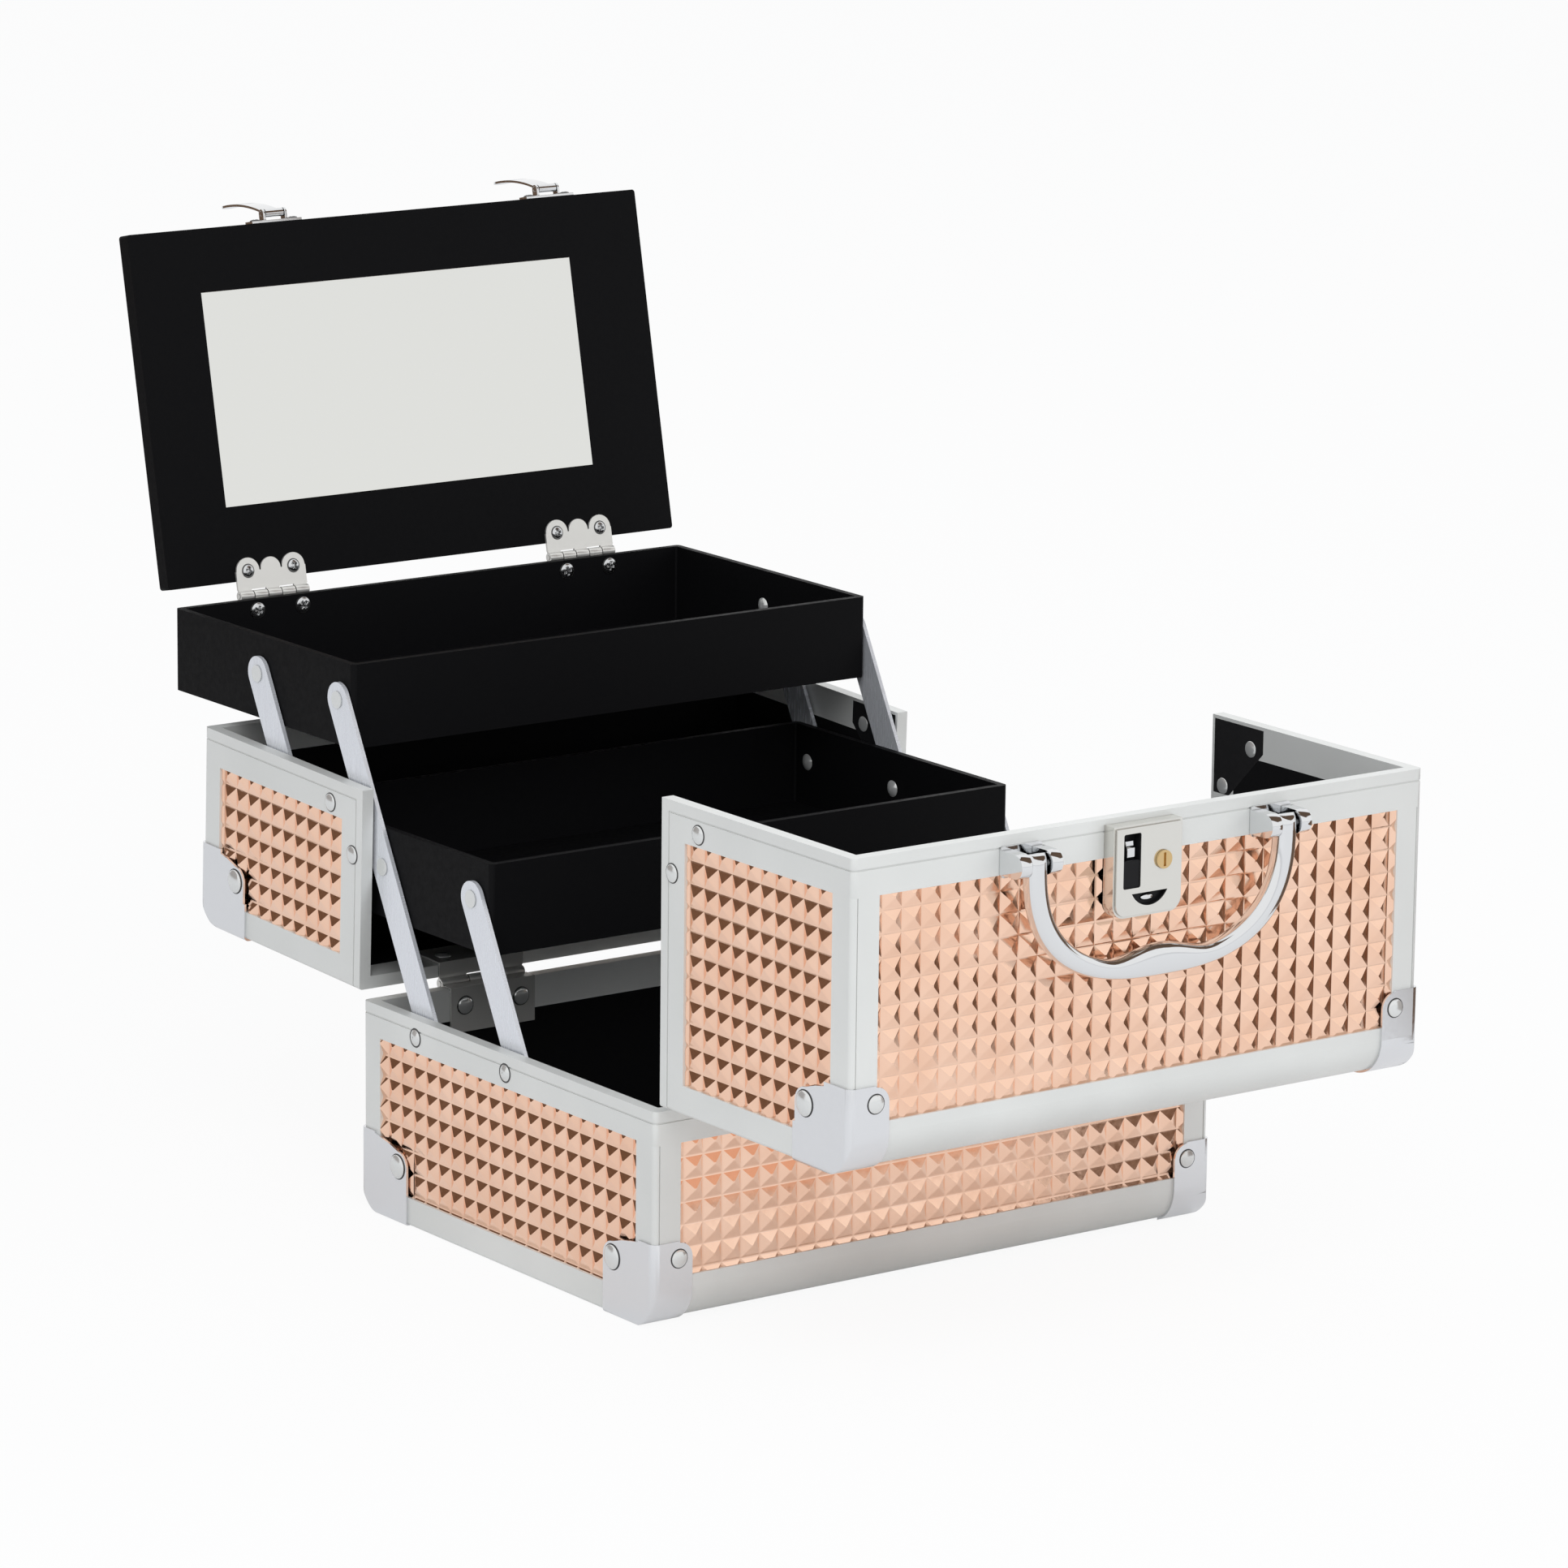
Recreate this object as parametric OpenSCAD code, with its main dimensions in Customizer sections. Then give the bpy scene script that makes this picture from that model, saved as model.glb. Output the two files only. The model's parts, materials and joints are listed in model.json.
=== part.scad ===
// Folding cosmetics case, shown open: a studded base with two swinging half lids,
// two trays on parallel arms and a mirror board hinged to the upper tray.
// Origin: centre of the base's underside. X is the width, -Y the front, +Z up. Millimetres.

/* [Case] */
// Outside width of the case
case_w = 200; // [180:5:240]
// Outside depth of the closed case
case_d = 150; // [140:1:170]
// Height of the base up to its rim
base_h = 63.5; // [58:0.5:72]
// Height of the lids above the seam
lid_h = 88.4; // [84:0.2:100]
// Depth of the front lid when closed
front_share = 88.5; // [85:0.5:90]
// Gap at the seams between base and lids
seam_gap = 0.6; // [0.4:0.1:1]
// Thickness of a lined wall
wall = 3.8; // [3.6:0.1:4.2]

/* [Metal frame] */
// Thickness of the aluminium strips
skin = 1.6; // [1.4:0.1:1.8]
// Width of the strips along the lid rims
lid_rim_w = 11; // [9:0.5:13]
// Width of the strip along the base rim
base_rim_w = 10; // [9:0.5:12]
// Width of the corner strips
corner_w = 9; // [8:0.5:11]
// Width of the strips along the lower edges of the sides
foot_side_w = 8.5; // [7:0.5:10]
// Width of the rounded strips at the front and at the back
foot_end_w = 14.5; // [13:0.5:16]
// Width of the metal ring under the base
ring_w = 12; // [10:1:16]
// Radius of the rounded lower and outer edges
edge_r = 11; // [9:0.5:11.5]
// Radius of the upright corner edges
post_r = 1.6; // [1.4:0.1:2.4]
// Radius of the lower edges on the sides
side_r = 1; // [0.6:0.1:1.6]
// Thickness of the metal over the rim
rim_cap = 1; // [0.8:0.1:1.2]
// Thickness of the inner rim flange
flange_t = 0.6; // [0.5:0.1:0.8]
// Height of the inner rim flange
flange_h = 10; // [8:0.5:10.5]
// Thickness of the studded covering sheet
sheet_t = 0.5; // [0.4:0.1:0.6]

/* [Corner guards] */
// Thickness of the pressed corner guards
guard_t = 0.7; // [0.5:0.1:1]
// Height of a guard along the corner
guard_h = 25; // [23:0.5:27]
// Distance of the side rivet from the corner
guard_rivet_a = 19.5; // [18:0.5:22]
// Height of the side rivet above the edge
guard_rivet_b = 17; // [15:0.2:18]
// Radius of the guard's rivet lobe
guard_lobe_r = 4.6; // [4.4:0.2:5]
// Radius of a guard's rivet on the side
guard_rivet_r = 3.6; // [3:0.1:3.8]
// Height of a guard's rivet on the side
guard_rivet_h = 1.3; // [1:0.1:1.5]
// Radius of the small rivet heads
rivet_r = 2.6; // [2.2:0.1:2.8]
// Height of the small rivet heads
rivet_h = 0.9; // [0.6:0.1:1]

/* [Case hinges] */
// Distance of the hinge axis outside the walls
pivot_out = 2; // [1.9:0.1:2.3]
// Outer radius of the hinge knuckles
knuckle_r = 1.6; // [1.5:0.05:1.7]
// Radius of the hinge pins
hinge_pin_r = 0.8; // [0.7:0.05:0.9]
// Running clearance of pins in their bores
pin_fit = 0.05; // [0.03:0.01:0.1]
// Distance of a case hinge from the middle
hinge_x = 57; // [50:1:62]
// Width of a case hinge
hinge_w = 30; // [24:1:34]
// Thickness of the hinge leaves
leaf_t = 0.8; // [0.6:0.05:0.85]
// Height of a hinge leaf on the inside of the wall
leaf_h = 14; // [12:1:16]
// Opening angle of the front lid
front_open = 90; // [60:1:90]
// Opening angle of the back lid
back_open = 88; // [60:1:88]

/* [Trays] */
// Depth of the lower tray
lower_tray_d = 108; // [100:1:110]
// Depth of the upper tray
upper_tray_d = 100.5; // [96:0.5:104]
// Height of the lower tray
tray_h = 27.2; // [26:0.2:27.6]
// Height of the upper tray
upper_tray_h = 25.4; // [24:0.2:27.2]
// Thickness of the tray walls
tray_wall = 2.2; // [1.8:0.1:2.6]
// Radius of the trays' upright edges
tray_r = 1.5; // [1:0.1:2]

/* [Arms] */
// Lean of the open arms behind the vertical
arm_lean = 28.1; // [20:0.1:30]
// Distance between the pivots of neighbouring levels along an arm
arm_step = 52; // [51.8:0.2:54]
// Width of an arm
arm_w = 10.5; // [9:0.5:11]
// Thickness of an arm
arm_t = 1.2; // [1:0.1:1.4]
// Depth of the base pivots below the rim
pivot_drop = 5.5; // [5.4:0.1:8]
// Place of the long arms' base pivots behind the middle
long_pivot_y = 47; // [46:0.5:49]
// Distance between the front and the long arms
front_pitch = 47; // [44:0.5:48]
// Distance between the long and the rear arms
rear_pitch = 44.5; // [42:0.5:46]
// Distance of the front pivots behind the lower tray's front
tray_front_inset = 8.2; // [7:0.2:9]
// Distance of the front pivots behind the upper tray's front
upper_front_inset = 6.4; // [6:0.2:8]
// Height of the pivots above the lower tray's underside
tray_pivot_h = 15.7; // [14:0.1:16.6]
// Height of the pivots above the upper tray's underside
upper_pivot_h = 14; // [12:0.1:15.6]
// Radius of the arm pivots
pivot_r = 1.5; // [1.2:0.1:1.8]
// Radius of the pivots' heads
pivot_head_r = 2.6; // [2.4:0.1:3]
// Clearance between the walls and the arms
arm_side_gap = 0.7; // [0.7:0.05:0.9]
// Clearance between the arms and the trays
arm_tray_gap = 0.3; // [0.2:0.05:0.4]

/* [Mirror] */
// How far the mirror board is wider than the tray on each side
board_over = 0.2; // [0.1:0.1:1]
// Length of the mirror board from its hinge edge
board_len = 109; // [105:0.5:110]
// Thickness of the mirror board
board_t = 5; // [4.5:0.5:6]
// Opening angle of the mirror board
mirror_open = 102; // [80:1:110]
// Width of the mirror glass
glass_w = 137; // [120:1:150]
// Height of the mirror glass
glass_l = 66.5; // [60:0.5:72]
// Distance of the glass from the board's hinge edge
glass_from = 23; // [21:0.5:25]
// Distance of the glass from the board's middle, towards the left
glass_off = 2; // [0:0.5:4]
// Thickness of the mirror glass
glass_t = 1.5; // [1:0.1:2]
// Distance of the mirror hinges from the middle
mirror_hinge_x = 57.5; // [50:0.5:60]
// Width of a mirror hinge
mirror_hinge_w = 25; // [22:0.5:27]
// Distance of the mirror hinge axis behind the tray
mirror_axis_out = 2; // [1.9:0.1:3]
// Gap between the closed board and the tray's rim
board_gap = 1.1; // [1:0.05:1.3]

/* [Clasps] */
// Place of the left clasp across the board
clasp_left_x = -40; // [-60:1:-30]
// Place of the right clasp across the board
clasp_right_x = 62; // [30:1:70]
// Width of a clasp's plate
clasp_w = 18; // [16:1:20]
// Length of a clasp's tongue from its pivot
tongue_len = 27; // [24:0.5:27]
// Width of a clasp's tongue
tongue_w = 6.4; // [5:0.2:6.6]

/* [Handle] */
// Distance of the handle's pivots from the middle
handle_x = 43.8; // [42:0.2:46]
// Distance of the handle's pivots from the hinge wall
handle_at = 81.2; // [79:0.1:82]
// Distance of the handle's axis off the lid
handle_out = 6.8; // [6:0.1:8]
// How far the handle hangs below its pivots
handle_drop = 37; // [34:0.5:40]
// Depth of the grip at the finger dips
grip_d = 5.2; // [5:0.2:7]
// Thickness of the handle
handle_t = 5.6; // [5:0.2:6.4]

/* [Lock] */
// Distance of the lock from the middle, towards the left
lock_off = 2.7; // [0:0.1:4]
// Width of the lock's body
lock_w = 24; // [22:0.5:26]
// Length of the lock's body
lock_l = 26; // [24:0.5:27]
// Height of the lock's body
lock_t = 5; // [4.5:0.1:5.5]
// Distance of the lock's body from the free rim
lock_from_rim = 1.6; // [1.6:0.1:3]
// Radius of the key cylinder
key_r = 2.6; // [2.2:0.1:3]
// Travel of the lock's slider
slider_travel = 2; // [1:0.1:2.4]

/* [Hidden] */

$fn = 48;
// A length past every face that a cut has to leave
far = 400;

// Fine groove along the rims: its distance from the rim, width and depth
groove_at = 3.2;
groove_w = 0.5;
groove_d = 0.3;
// Width of the fine seam along the upright corners
seam_w = 0.3;
// Radius of the hollows beside the rounded edges
hollow_r = 3.2;
// How far a guard reaches round a rounded edge
guard_under = 7;

// Colours
aluminium = [0.84, 0.86, 0.86];
chrome = [0.78, 0.79, 0.8];
rose = [0.93, 0.67, 0.52];
black = [0.06, 0.06, 0.06];

// Seam, hinge axes and the lids' depths
pivot_z = base_h + seam_gap / 2;
pivot_y = case_d / 2 + pivot_out;
back_share = case_d - front_share - seam_gap;

// Inner faces of the walls, and the layers beside them
inner_x = case_w / 2 - wall;
inner_y = case_d / 2 - wall;
arm_outer_x = inner_x - arm_side_gap;
arm_inner_x = arm_outer_x - arm_t;
tray_half_w = arm_inner_x - arm_tray_gap;
tray_inner_x = tray_half_w - tray_wall;
// Clearance between a pivot's head and the arm
head_gap = 0.05;
// Height of the flat heads on the outside of the arms
flat_head_h = arm_side_gap - 0.3;

// Pivots of the arms in the open case, as [y, z]
function along(p, n) = [p[0] + n * arm_step * sin(arm_lean), p[1] + n * arm_step * cos(arm_lean)];
base_long = [long_pivot_y, base_h - pivot_drop];
base_front = base_long - [front_pitch, 0];
lower_long = along(base_long, 1);
lower_front = along(base_front, 1);
lower_rear = lower_long + [rear_pitch, 0];
upper_long = along(base_long, 2);
upper_rear = upper_long + [rear_pitch, 0];
// Front lower edges of the trays, as [y, z]
lower_tray_at = lower_front - [tray_front_inset, tray_pivot_h];
upper_tray_at = upper_long - [upper_front_inset, upper_pivot_h];

// Height of the closed board's lower face above its hinge axis
board_rise = 0.6;
// Axis of the mirror hinge, as [y, z]
mirror_axis = upper_tray_at + [upper_tray_d + mirror_axis_out, upper_tray_h + board_gap - board_rise];
// Distance of the closed board's rear edge in front of the hinge axis
board_back = mirror_axis_out + tray_wall + 0.4;
board_half_w = tray_half_w + board_over;

// Clasp pivot in the closed board's frame, as [y, z]
clasp_plate_t = 0.8;
clasp_pivot_out = 3;
clasp_pivot = [-board_back - board_len - clasp_pivot_out, board_rise + board_t / 2];
clasp_pin_r = 0.7;
clasp_barrel_r = 1.4;
clasp_ear_t = 0.8;
clasp_ear_x = tongue_w / 2 + 0.3;
// Distance of a clasp's screws from the ends of its plate, the heads' radius and height
clasp_screw_at = 2.2;
clasp_screw_r = 1.6;
clasp_screw_h = 0.6;
// Angle of an open tongue off the board's normal, towards the free edge
clasp_rest = 8;

// ---------- Helpers ----------

// Draws its children on both sides of the middle
module both_sides() {
    children();
    mirror([1, 0, 0]) children();
}

// Draws its children at the front and at the back
module front_and_back() {
    children();
    mirror([0, 1, 0]) children();
}

// A rectangle with round corners, centred on the Y axis and standing on the X axis
module round_rect(w, h, r) {
    translate([-w / 2 + r, 0]) square([w - 2 * r, h]);
    translate([-w / 2, r]) square([w, h - 2 * r]);
    for (x = [-w / 2 + r, w / 2 - r], y = [r, h - r]) translate([x, y]) circle(r);
}

// A rectangle whose two lower corners are round
module round_foot(w, h, r) {
    translate([-w / 2 + r, 0]) square([w - 2 * r, h]);
    translate([-w / 2, r]) square([w, h - r]);
    for (x = [-w / 2 + r, w / 2 - r]) translate([x, r]) circle(r);
}

// A quadrant-shaped profile: a rectangle from the origin with one round corner at [0, h]
module one_round(w, h, r) {
    square([w, h - r]);
    translate([r, 0]) square([w - r, h]);
    translate([r, h - r]) circle(r);
}

// A corner radius drawn in by an inset
function shrunk(r, inset) = max(r - inset, 0.3);

// A domed rivet head on the XY plane, its dome up
module dome(r, h) {
    sphere_r = (r * r + h * h) / (2 * h);
    intersection() {
        translate([0, 0, h - sphere_r]) sphere(sphere_r);
        cylinder(r = r + 1, h = h + 1);
    }
}

// A cylinder along X between two x values
module x_rod(r, x0, x1) {
    translate([x0, 0, 0]) rotate([0, 90, 0]) cylinder(r = r, h = x1 - x0);
}

// A box from its lowest and highest corners
module block(lo, hi) {
    translate(lo) cube(hi - lo);
}

// ---------- Base ----------

// The base's outer form, drawn in by an inset on its walls and floor
module base_form(inset) {
    w = case_w - 2 * inset;
    d = case_d - 2 * inset;
    h = base_h - inset;
    intersection() {
        translate([0, -d / 2, inset]) linear_extrude(h) round_rect(w, d, shrunk(post_r, inset));
        translate([0, d / 2, inset]) rotate([90, 0, 0]) linear_extrude(d)
            round_foot(w, h, shrunk(side_r, inset));
        translate([-w / 2, 0, inset]) rotate([90, 0, 90]) linear_extrude(w)
            round_foot(d, h, edge_r - inset);
    }
}

// The base's inner hollow, which the floor closes
module base_hollow(depth) {
    r = 0.6;
    w = case_w - 2 * depth;
    d = case_d - 2 * depth;
    intersection() {
        translate([0, -d / 2, wall]) linear_extrude(far) round_rect(w, d, r);
        translate([-w / 2, 0, wall]) rotate([90, 0, 90]) linear_extrude(w) round_foot(d, far, hollow_r);
    }
}

// Windows that the studded sheets fill in the base's metal skin
module base_windows() {
    z1 = base_h - base_rim_w;
    block([-far, -case_d / 2 + corner_w, foot_side_w], [far, case_d / 2 - corner_w, z1]);
    block([-case_w / 2 + corner_w, -far, foot_end_w], [case_w / 2 - corner_w, far, z1]);
}

// The zone of the strips along the base's lower edges
module base_foot_zone() {
    block([-far, -far, -1], [far, far, foot_side_w]);
    front_and_back() block([-far, -far, -1], [far, -case_d / 2 + corner_w, foot_end_w]);
}

// Holes through the base's walls for the arm pivots
module base_pivot_holes() {
    for (p = [base_long, base_front])
        translate([0, p[0], p[1]]) x_rod(pivot_r + pin_fit, -case_w, case_w);
}

// Notches in the base's rim for the hinge leaves
module base_hinge_notches() {
    front_and_back() both_sides()
        block([hinge_x - hinge_w / 2 - 0.2, -case_d / 2 - 1, pivot_z - head_gap - leaf_t],
            [hinge_x + hinge_w / 2 + 0.2, -inner_y + 1, base_h + 1]);
}

module base_box() {
    color(black) difference() {
        base_form(skin);
        base_hollow(wall);
        // room for the rim's metal
        block([-far, -far, base_h - rim_cap], [far, far, far]);
        intersection() {
            base_hollow(wall - flange_t);
            block([-far, -far, base_h - flange_h], [far, far, far]);
        }
        base_pivot_holes();
        base_hinge_notches();
    }
}

module base_bottom_panel() {
    w = case_w - 2 * ring_w;
    d = case_d - 2 * ring_w;
    color(black) translate([0, -d / 2, 0]) linear_extrude(skin) round_rect(w, d, post_r);
}

module base_top_frame() {
    color(aluminium) difference() {
        union() {
            intersection() {
                difference() {
                    base_form(0);
                    intersection() {
                        base_form(skin);
                        block([-far, -far, 0], [far, far, base_h - rim_cap]);
                    }
                }
                block([-far, -far, base_h - base_rim_w], [far, far, far]);
            }
            intersection() {
                base_hollow(wall - flange_t);
                block([-far, -far, base_h - flange_h], [far, far, base_h]);
            }
        }
        base_hollow(wall);
        base_rim_groove();
        base_pivot_holes();
        base_hinge_notches();
    }
}

// A fine groove that runs round the outside of the base's rim
module base_rim_groove() {
    difference() {
        block([-far, -far, base_h - groove_at - groove_w], [far, far, base_h - groove_at]);
        base_form(groove_d);
    }
}

module base_bottom_frame() {
    w = case_w - 2 * ring_w;
    d = case_d - 2 * ring_w;
    color(aluminium) difference() {
        intersection() {
            base_form(0);
            base_foot_zone();
        }
        base_form(skin);
        translate([0, -d / 2, -1]) linear_extrude(skin + 2) round_rect(w, d, post_r);
    }
}

module base_corner_posts() {
    color(aluminium) difference() {
        base_form(0);
        base_form(skin);
        base_foot_zone();
        block([-far, -far, base_h - base_rim_w], [far, far, far]);
        base_windows();
        // fine seams beside the upright corners
        both_sides() difference() {
            block([case_w / 2 - post_r - seam_w, -far, 0], [case_w / 2 - post_r, far, far]);
            base_form(groove_d);
        }
    }
}

module base_stud_sheets() {
    color(rose) intersection() {
        difference() {
            base_form(skin - sheet_t);
            base_form(skin);
        }
        base_windows();
    }
}

// A guard's outline over the long side: x runs away from the corner, y up along it
module guard_long_outline() {
    reach = guard_rivet_a + guard_lobe_r;
    polygon([[-2, -2], [reach, -2], [reach, guard_rivet_b], [guard_rivet_a, guard_rivet_b + guard_lobe_r],
        [guard_rivet_a - guard_lobe_r, guard_h - 2], [4, guard_h], [-2, guard_h]]);
    translate([guard_rivet_a, guard_rivet_b]) circle(guard_lobe_r);
}

// Place of the rivet on a guard's short side
guard_short_a = 8.2;
guard_short_b = 20;

// A guard's outline over the short side
module guard_short_outline() {
    reach = guard_short_a + guard_lobe_r;
    polygon([[-2, -2], [reach, -2], [reach, guard_short_b], [guard_short_a, guard_h], [-2, guard_h]]);
    translate([guard_short_a, guard_short_b]) circle(guard_lobe_r);
}

module base_corner_guards() {
    color(chrome) front_and_back() both_sides() difference() {
        intersection() {
            base_form(-guard_t);
            block([0, -far, 0], [far, 0, far]);
            union() {
                intersection() {
                    translate([0, -case_d / 2, 0]) rotate([90, 0, 90]) linear_extrude(far)
                        guard_long_outline();
                    block([case_w / 2 - post_r, -far, 0], [far, 0, far]);
                }
                intersection() {
                    translate([case_w / 2, 0, 0]) mirror([1, 0, 0]) rotate([90, 0, 0]) linear_extrude(far)
                        guard_short_outline();
                    block([0, -far, 0], [far, -case_d / 2 + guard_under, far]);
                }
            }
        }
        base_form(0);
    }
}

// Rivets through the four guards, seen from outside
module base_rivets() {
    color(chrome) front_and_back() both_sides() {
        translate([case_w / 2 + guard_t, -case_d / 2 + guard_rivet_a, guard_rivet_b]) rotate([0, 90, 0])
            dome(guard_rivet_r, guard_rivet_h);
        translate([case_w / 2 - guard_short_a, -case_d / 2 - guard_t, guard_short_b]) rotate([90, 0, 0])
            dome(rivet_r, rivet_h);
        for (x = [hinge_x - hinge_rivet_pitch / 2, hinge_x + hinge_rivet_pitch / 2])
            translate([x, -inner_y + leaf_t, base_h - pivot_drop]) rotate([-90, 0, 0])
                dome(rivet_r, rivet_h);
    }
}

// ---------- Case hinges ----------

hinge_rivet_pitch = 20;
knuckle_gap = 0.3;

// A hinge leaf that rises from the pivot axis at the origin, its wall towards +Y.
// Knuckles are numbered 0 to 2 across its width.
module hinge_leaf(knuckles) {
    inner = pivot_out + wall;
    step = hinge_w / 3;
    difference() {
        union() {
            block([-hinge_w / 2, inner, head_gap], [hinge_w / 2, inner + leaf_t, leaf_h]);
            block([-hinge_w / 2, knuckle_r + knuckle_gap, head_gap],
                [hinge_w / 2, inner + leaf_t, head_gap + leaf_t]);
            for (k = knuckles) {
                x0 = -hinge_w / 2 + k * step + knuckle_gap / 2;
                block([x0, 0, head_gap], [x0 + step - knuckle_gap, inner, head_gap + leaf_t]);
                x_rod(knuckle_r, x0, x0 + step - knuckle_gap);
            }
        }
        x_rod(hinge_pin_r + pin_fit, -far, far);
    }
}

// Places its children at the front hinge axis on both sides
module at_front_hinges() {
    both_sides() translate([hinge_x, -pivot_y, pivot_z]) children();
}

module base_hinge_leaves() {
    color(chrome) front_and_back() at_front_hinges() mirror([0, 0, 1]) hinge_leaf([1]);
}

module case_hinge_pins() {
    color(chrome) front_and_back() at_front_hinges() x_rod(hinge_pin_r, -hinge_w / 2, hinge_w / 2);
}

// ---------- Lids, drawn in their own frame ----------
// Y runs from the hinge wall's outer face to the free rim, Z from the seam to the top.

// Places a lid's frame on the open front lid
module front_lid_place() {
    translate([0, -pivot_y, pivot_z]) rotate([front_open, 0, 0])
        translate([0, pivot_out, seam_gap / 2]) children();
}

// Places a lid's frame on the open back lid
module back_lid_place() {
    mirror([0, 1, 0]) translate([0, -pivot_y, pivot_z]) rotate([back_open, 0, 0])
        translate([0, pivot_out, seam_gap / 2]) children();
}

// A lid's outer form, drawn in by an inset on its walls
module lid_form(share, inset) {
    w = case_w - 2 * inset;
    h = lid_h - inset;
    d = share - inset;
    intersection() {
        // hinge wall and sides, from above
        translate([0, inset, 0]) linear_extrude(h) round_foot(w, d, shrunk(side_r, inset));
        // top and sides, from the front
        translate([0, share, h]) mirror([0, 0, 1]) rotate([90, 0, 0]) linear_extrude(d)
            round_foot(w, h, shrunk(post_r, inset));
        // hinge wall and top, from the side
        translate([-w / 2, inset, 0]) rotate([90, 0, 90]) linear_extrude(w)
            one_round(d, h, edge_r - inset);
    }
}

// The lid's hollow inside a wall of the given depth
module lid_hollow(depth) {
    w = case_w - 2 * depth;
    translate([-w / 2, depth, -1]) rotate([90, 0, 90]) linear_extrude(w)
        one_round(far, lid_h - depth + 1, hollow_r);
}

// The strips along both of a lid's open rims
module lid_rim_zone(share, w) {
    block([-far, -far, -1], [far, far, w]);
    block([-far, share - w, -1], [far, far, far]);
}

// Windows that the studded sheets fill in a lid's metal skin
module lid_windows(share) {
    y1 = share - lid_rim_w;
    z1 = lid_h - corner_w;
    block([-far, foot_side_w, lid_rim_w], [far, y1, z1]);
    block([-case_w / 2 + corner_w, foot_end_w, lid_rim_w], [case_w / 2 - corner_w, y1, far]);
    block([-case_w / 2 + corner_w, -far, lid_rim_w], [case_w / 2 - corner_w, y1, lid_h - foot_end_w]);
}

// Notch in a lid's hinge-side rim for the hinge leaves
module lid_hinge_notches() {
    both_sides()
        block([hinge_x - hinge_w / 2 - 0.2, -1, -1],
            [hinge_x + hinge_w / 2 + 0.2, wall + 1, head_gap + leaf_t - seam_gap / 2]);
}

// Fine seams in the top wall's metal beside the corners
module lid_corner_seams(share) {
    both_sides() difference() {
        block([case_w / 2 - post_r - seam_w, foot_end_w, -1], [case_w / 2 - post_r, far, far]);
        lid_form(share, groove_d);
    }
}

// Legs of the triangular gussets inside the rim corners
gusset_leg = 23;

// The gussets' outline in a lid's side wall
module gusset_outline(share) {
    polygon([[share - rim_cap, rim_cap], [share - gusset_leg, rim_cap], [share - gusset_leg, flange_h - 2],
        [share - flange_h + 2, gusset_leg], [share - rim_cap, gusset_leg]]);
}

module gussets(share) {
    both_sides() translate([inner_x, 0, 0]) rotate([90, 0, 90]) linear_extrude(flange_t)
        gusset_outline(share);
}

// Places of the two gusset rivets, as distances from the rim corner
gusset_rivets = [[20.6, 5.1], [7.4, 17.4]];

module lid_box(share) {
    color(black) difference() {
        lid_form(share, skin);
        lid_hollow(wall);
        lid_rim_zone(share, rim_cap);
        difference() {
            lid_hollow(wall - flange_t);
            difference() {
                lid_form(share, 0);
                lid_rim_zone(share, flange_h);
            }
        }
        gussets(share);
        lid_hinge_notches();
    }
}

module lid_stud_sheets(share) {
    color(rose) intersection() {
        difference() {
            lid_form(share, skin - sheet_t);
            lid_form(share, skin);
        }
        lid_windows(share);
    }
}

module lid_rim_frame(share) {
    color(aluminium) difference() {
        union() {
            intersection() {
                difference() {
                    lid_form(share, 0);
                    difference() {
                        lid_form(share, skin);
                        lid_rim_zone(share, rim_cap);
                    }
                }
                lid_rim_zone(share, lid_rim_w);
            }
            intersection() {
                lid_hollow(wall - flange_t);
                lid_rim_zone(share, flange_h);
                block([-far, 0, 0], [far, share, lid_h]);
            }
        }
        lid_hollow(wall);
        gussets(share);
        lid_hinge_notches();
        // fine grooves along the rims
        difference() {
            union() {
                block([-far, -far, groove_at], [far, share - groove_at, groove_at + groove_w]);
                block([-far, share - groove_at - groove_w, groove_at], [far, share - groove_at, far]);
            }
            lid_form(share, groove_d);
        }
    }
}

module lid_edge_frame(share) {
    color(aluminium) difference() {
        lid_form(share, 0);
        lid_form(share, skin);
        lid_rim_zone(share, lid_rim_w);
        lid_windows(share);
        lid_corner_seams(share);
    }
}

module lid_corner_guards(share) {
    color(chrome) both_sides() difference() {
        intersection() {
            lid_form(share, -guard_t);
            union() {
                // over the side wall
                intersection() {
                    translate([0, 0, lid_h]) rotate([90, 90, 90]) linear_extrude(far)
                        guard_long_outline();
                    block([case_w / 2 - post_r, -far, 0], [far, far, far]);
                }
                // over the top wall
                intersection() {
                    translate([case_w / 2, 0, 0]) mirror([1, 0, 0]) linear_extrude(far)
                        guard_short_outline();
                    block([0, -far, lid_h - edge_r], [far, far, far]);
                }
                // over the hinge wall
                block([case_w / 2 - guard_short_a - guard_lobe_r, -far, lid_h - guard_h],
                    [far, edge_r, far]);
            }
        }
        lid_form(share, 0);
    }
}

module lid_rivets(share) {
    color(chrome) both_sides() {
        translate([case_w / 2 + guard_t, guard_rivet_b, lid_h - guard_rivet_a]) rotate([0, 90, 0])
            dome(guard_rivet_r, guard_rivet_h);
        translate([case_w / 2 - guard_short_a, guard_short_b, lid_h + guard_t]) dome(rivet_r, rivet_h);
        for (p = gusset_rivets)
            translate([case_w / 2, share - p[0], p[1]]) rotate([0, 90, 0]) dome(rivet_r, rivet_h);
        for (x = [hinge_x - hinge_rivet_pitch / 2, hinge_x + hinge_rivet_pitch / 2])
            translate([x, wall + leaf_t, pivot_drop]) rotate([-90, 0, 0]) dome(rivet_r, rivet_h);
    }
}

module lid_hinge_leaves() {
    color(chrome) both_sides() translate([hinge_x, -pivot_out, -seam_gap / 2]) hinge_leaf([0, 2]);
}

module front_lid_box() {
    front_lid_place() lid_box(front_share);
}

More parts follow.
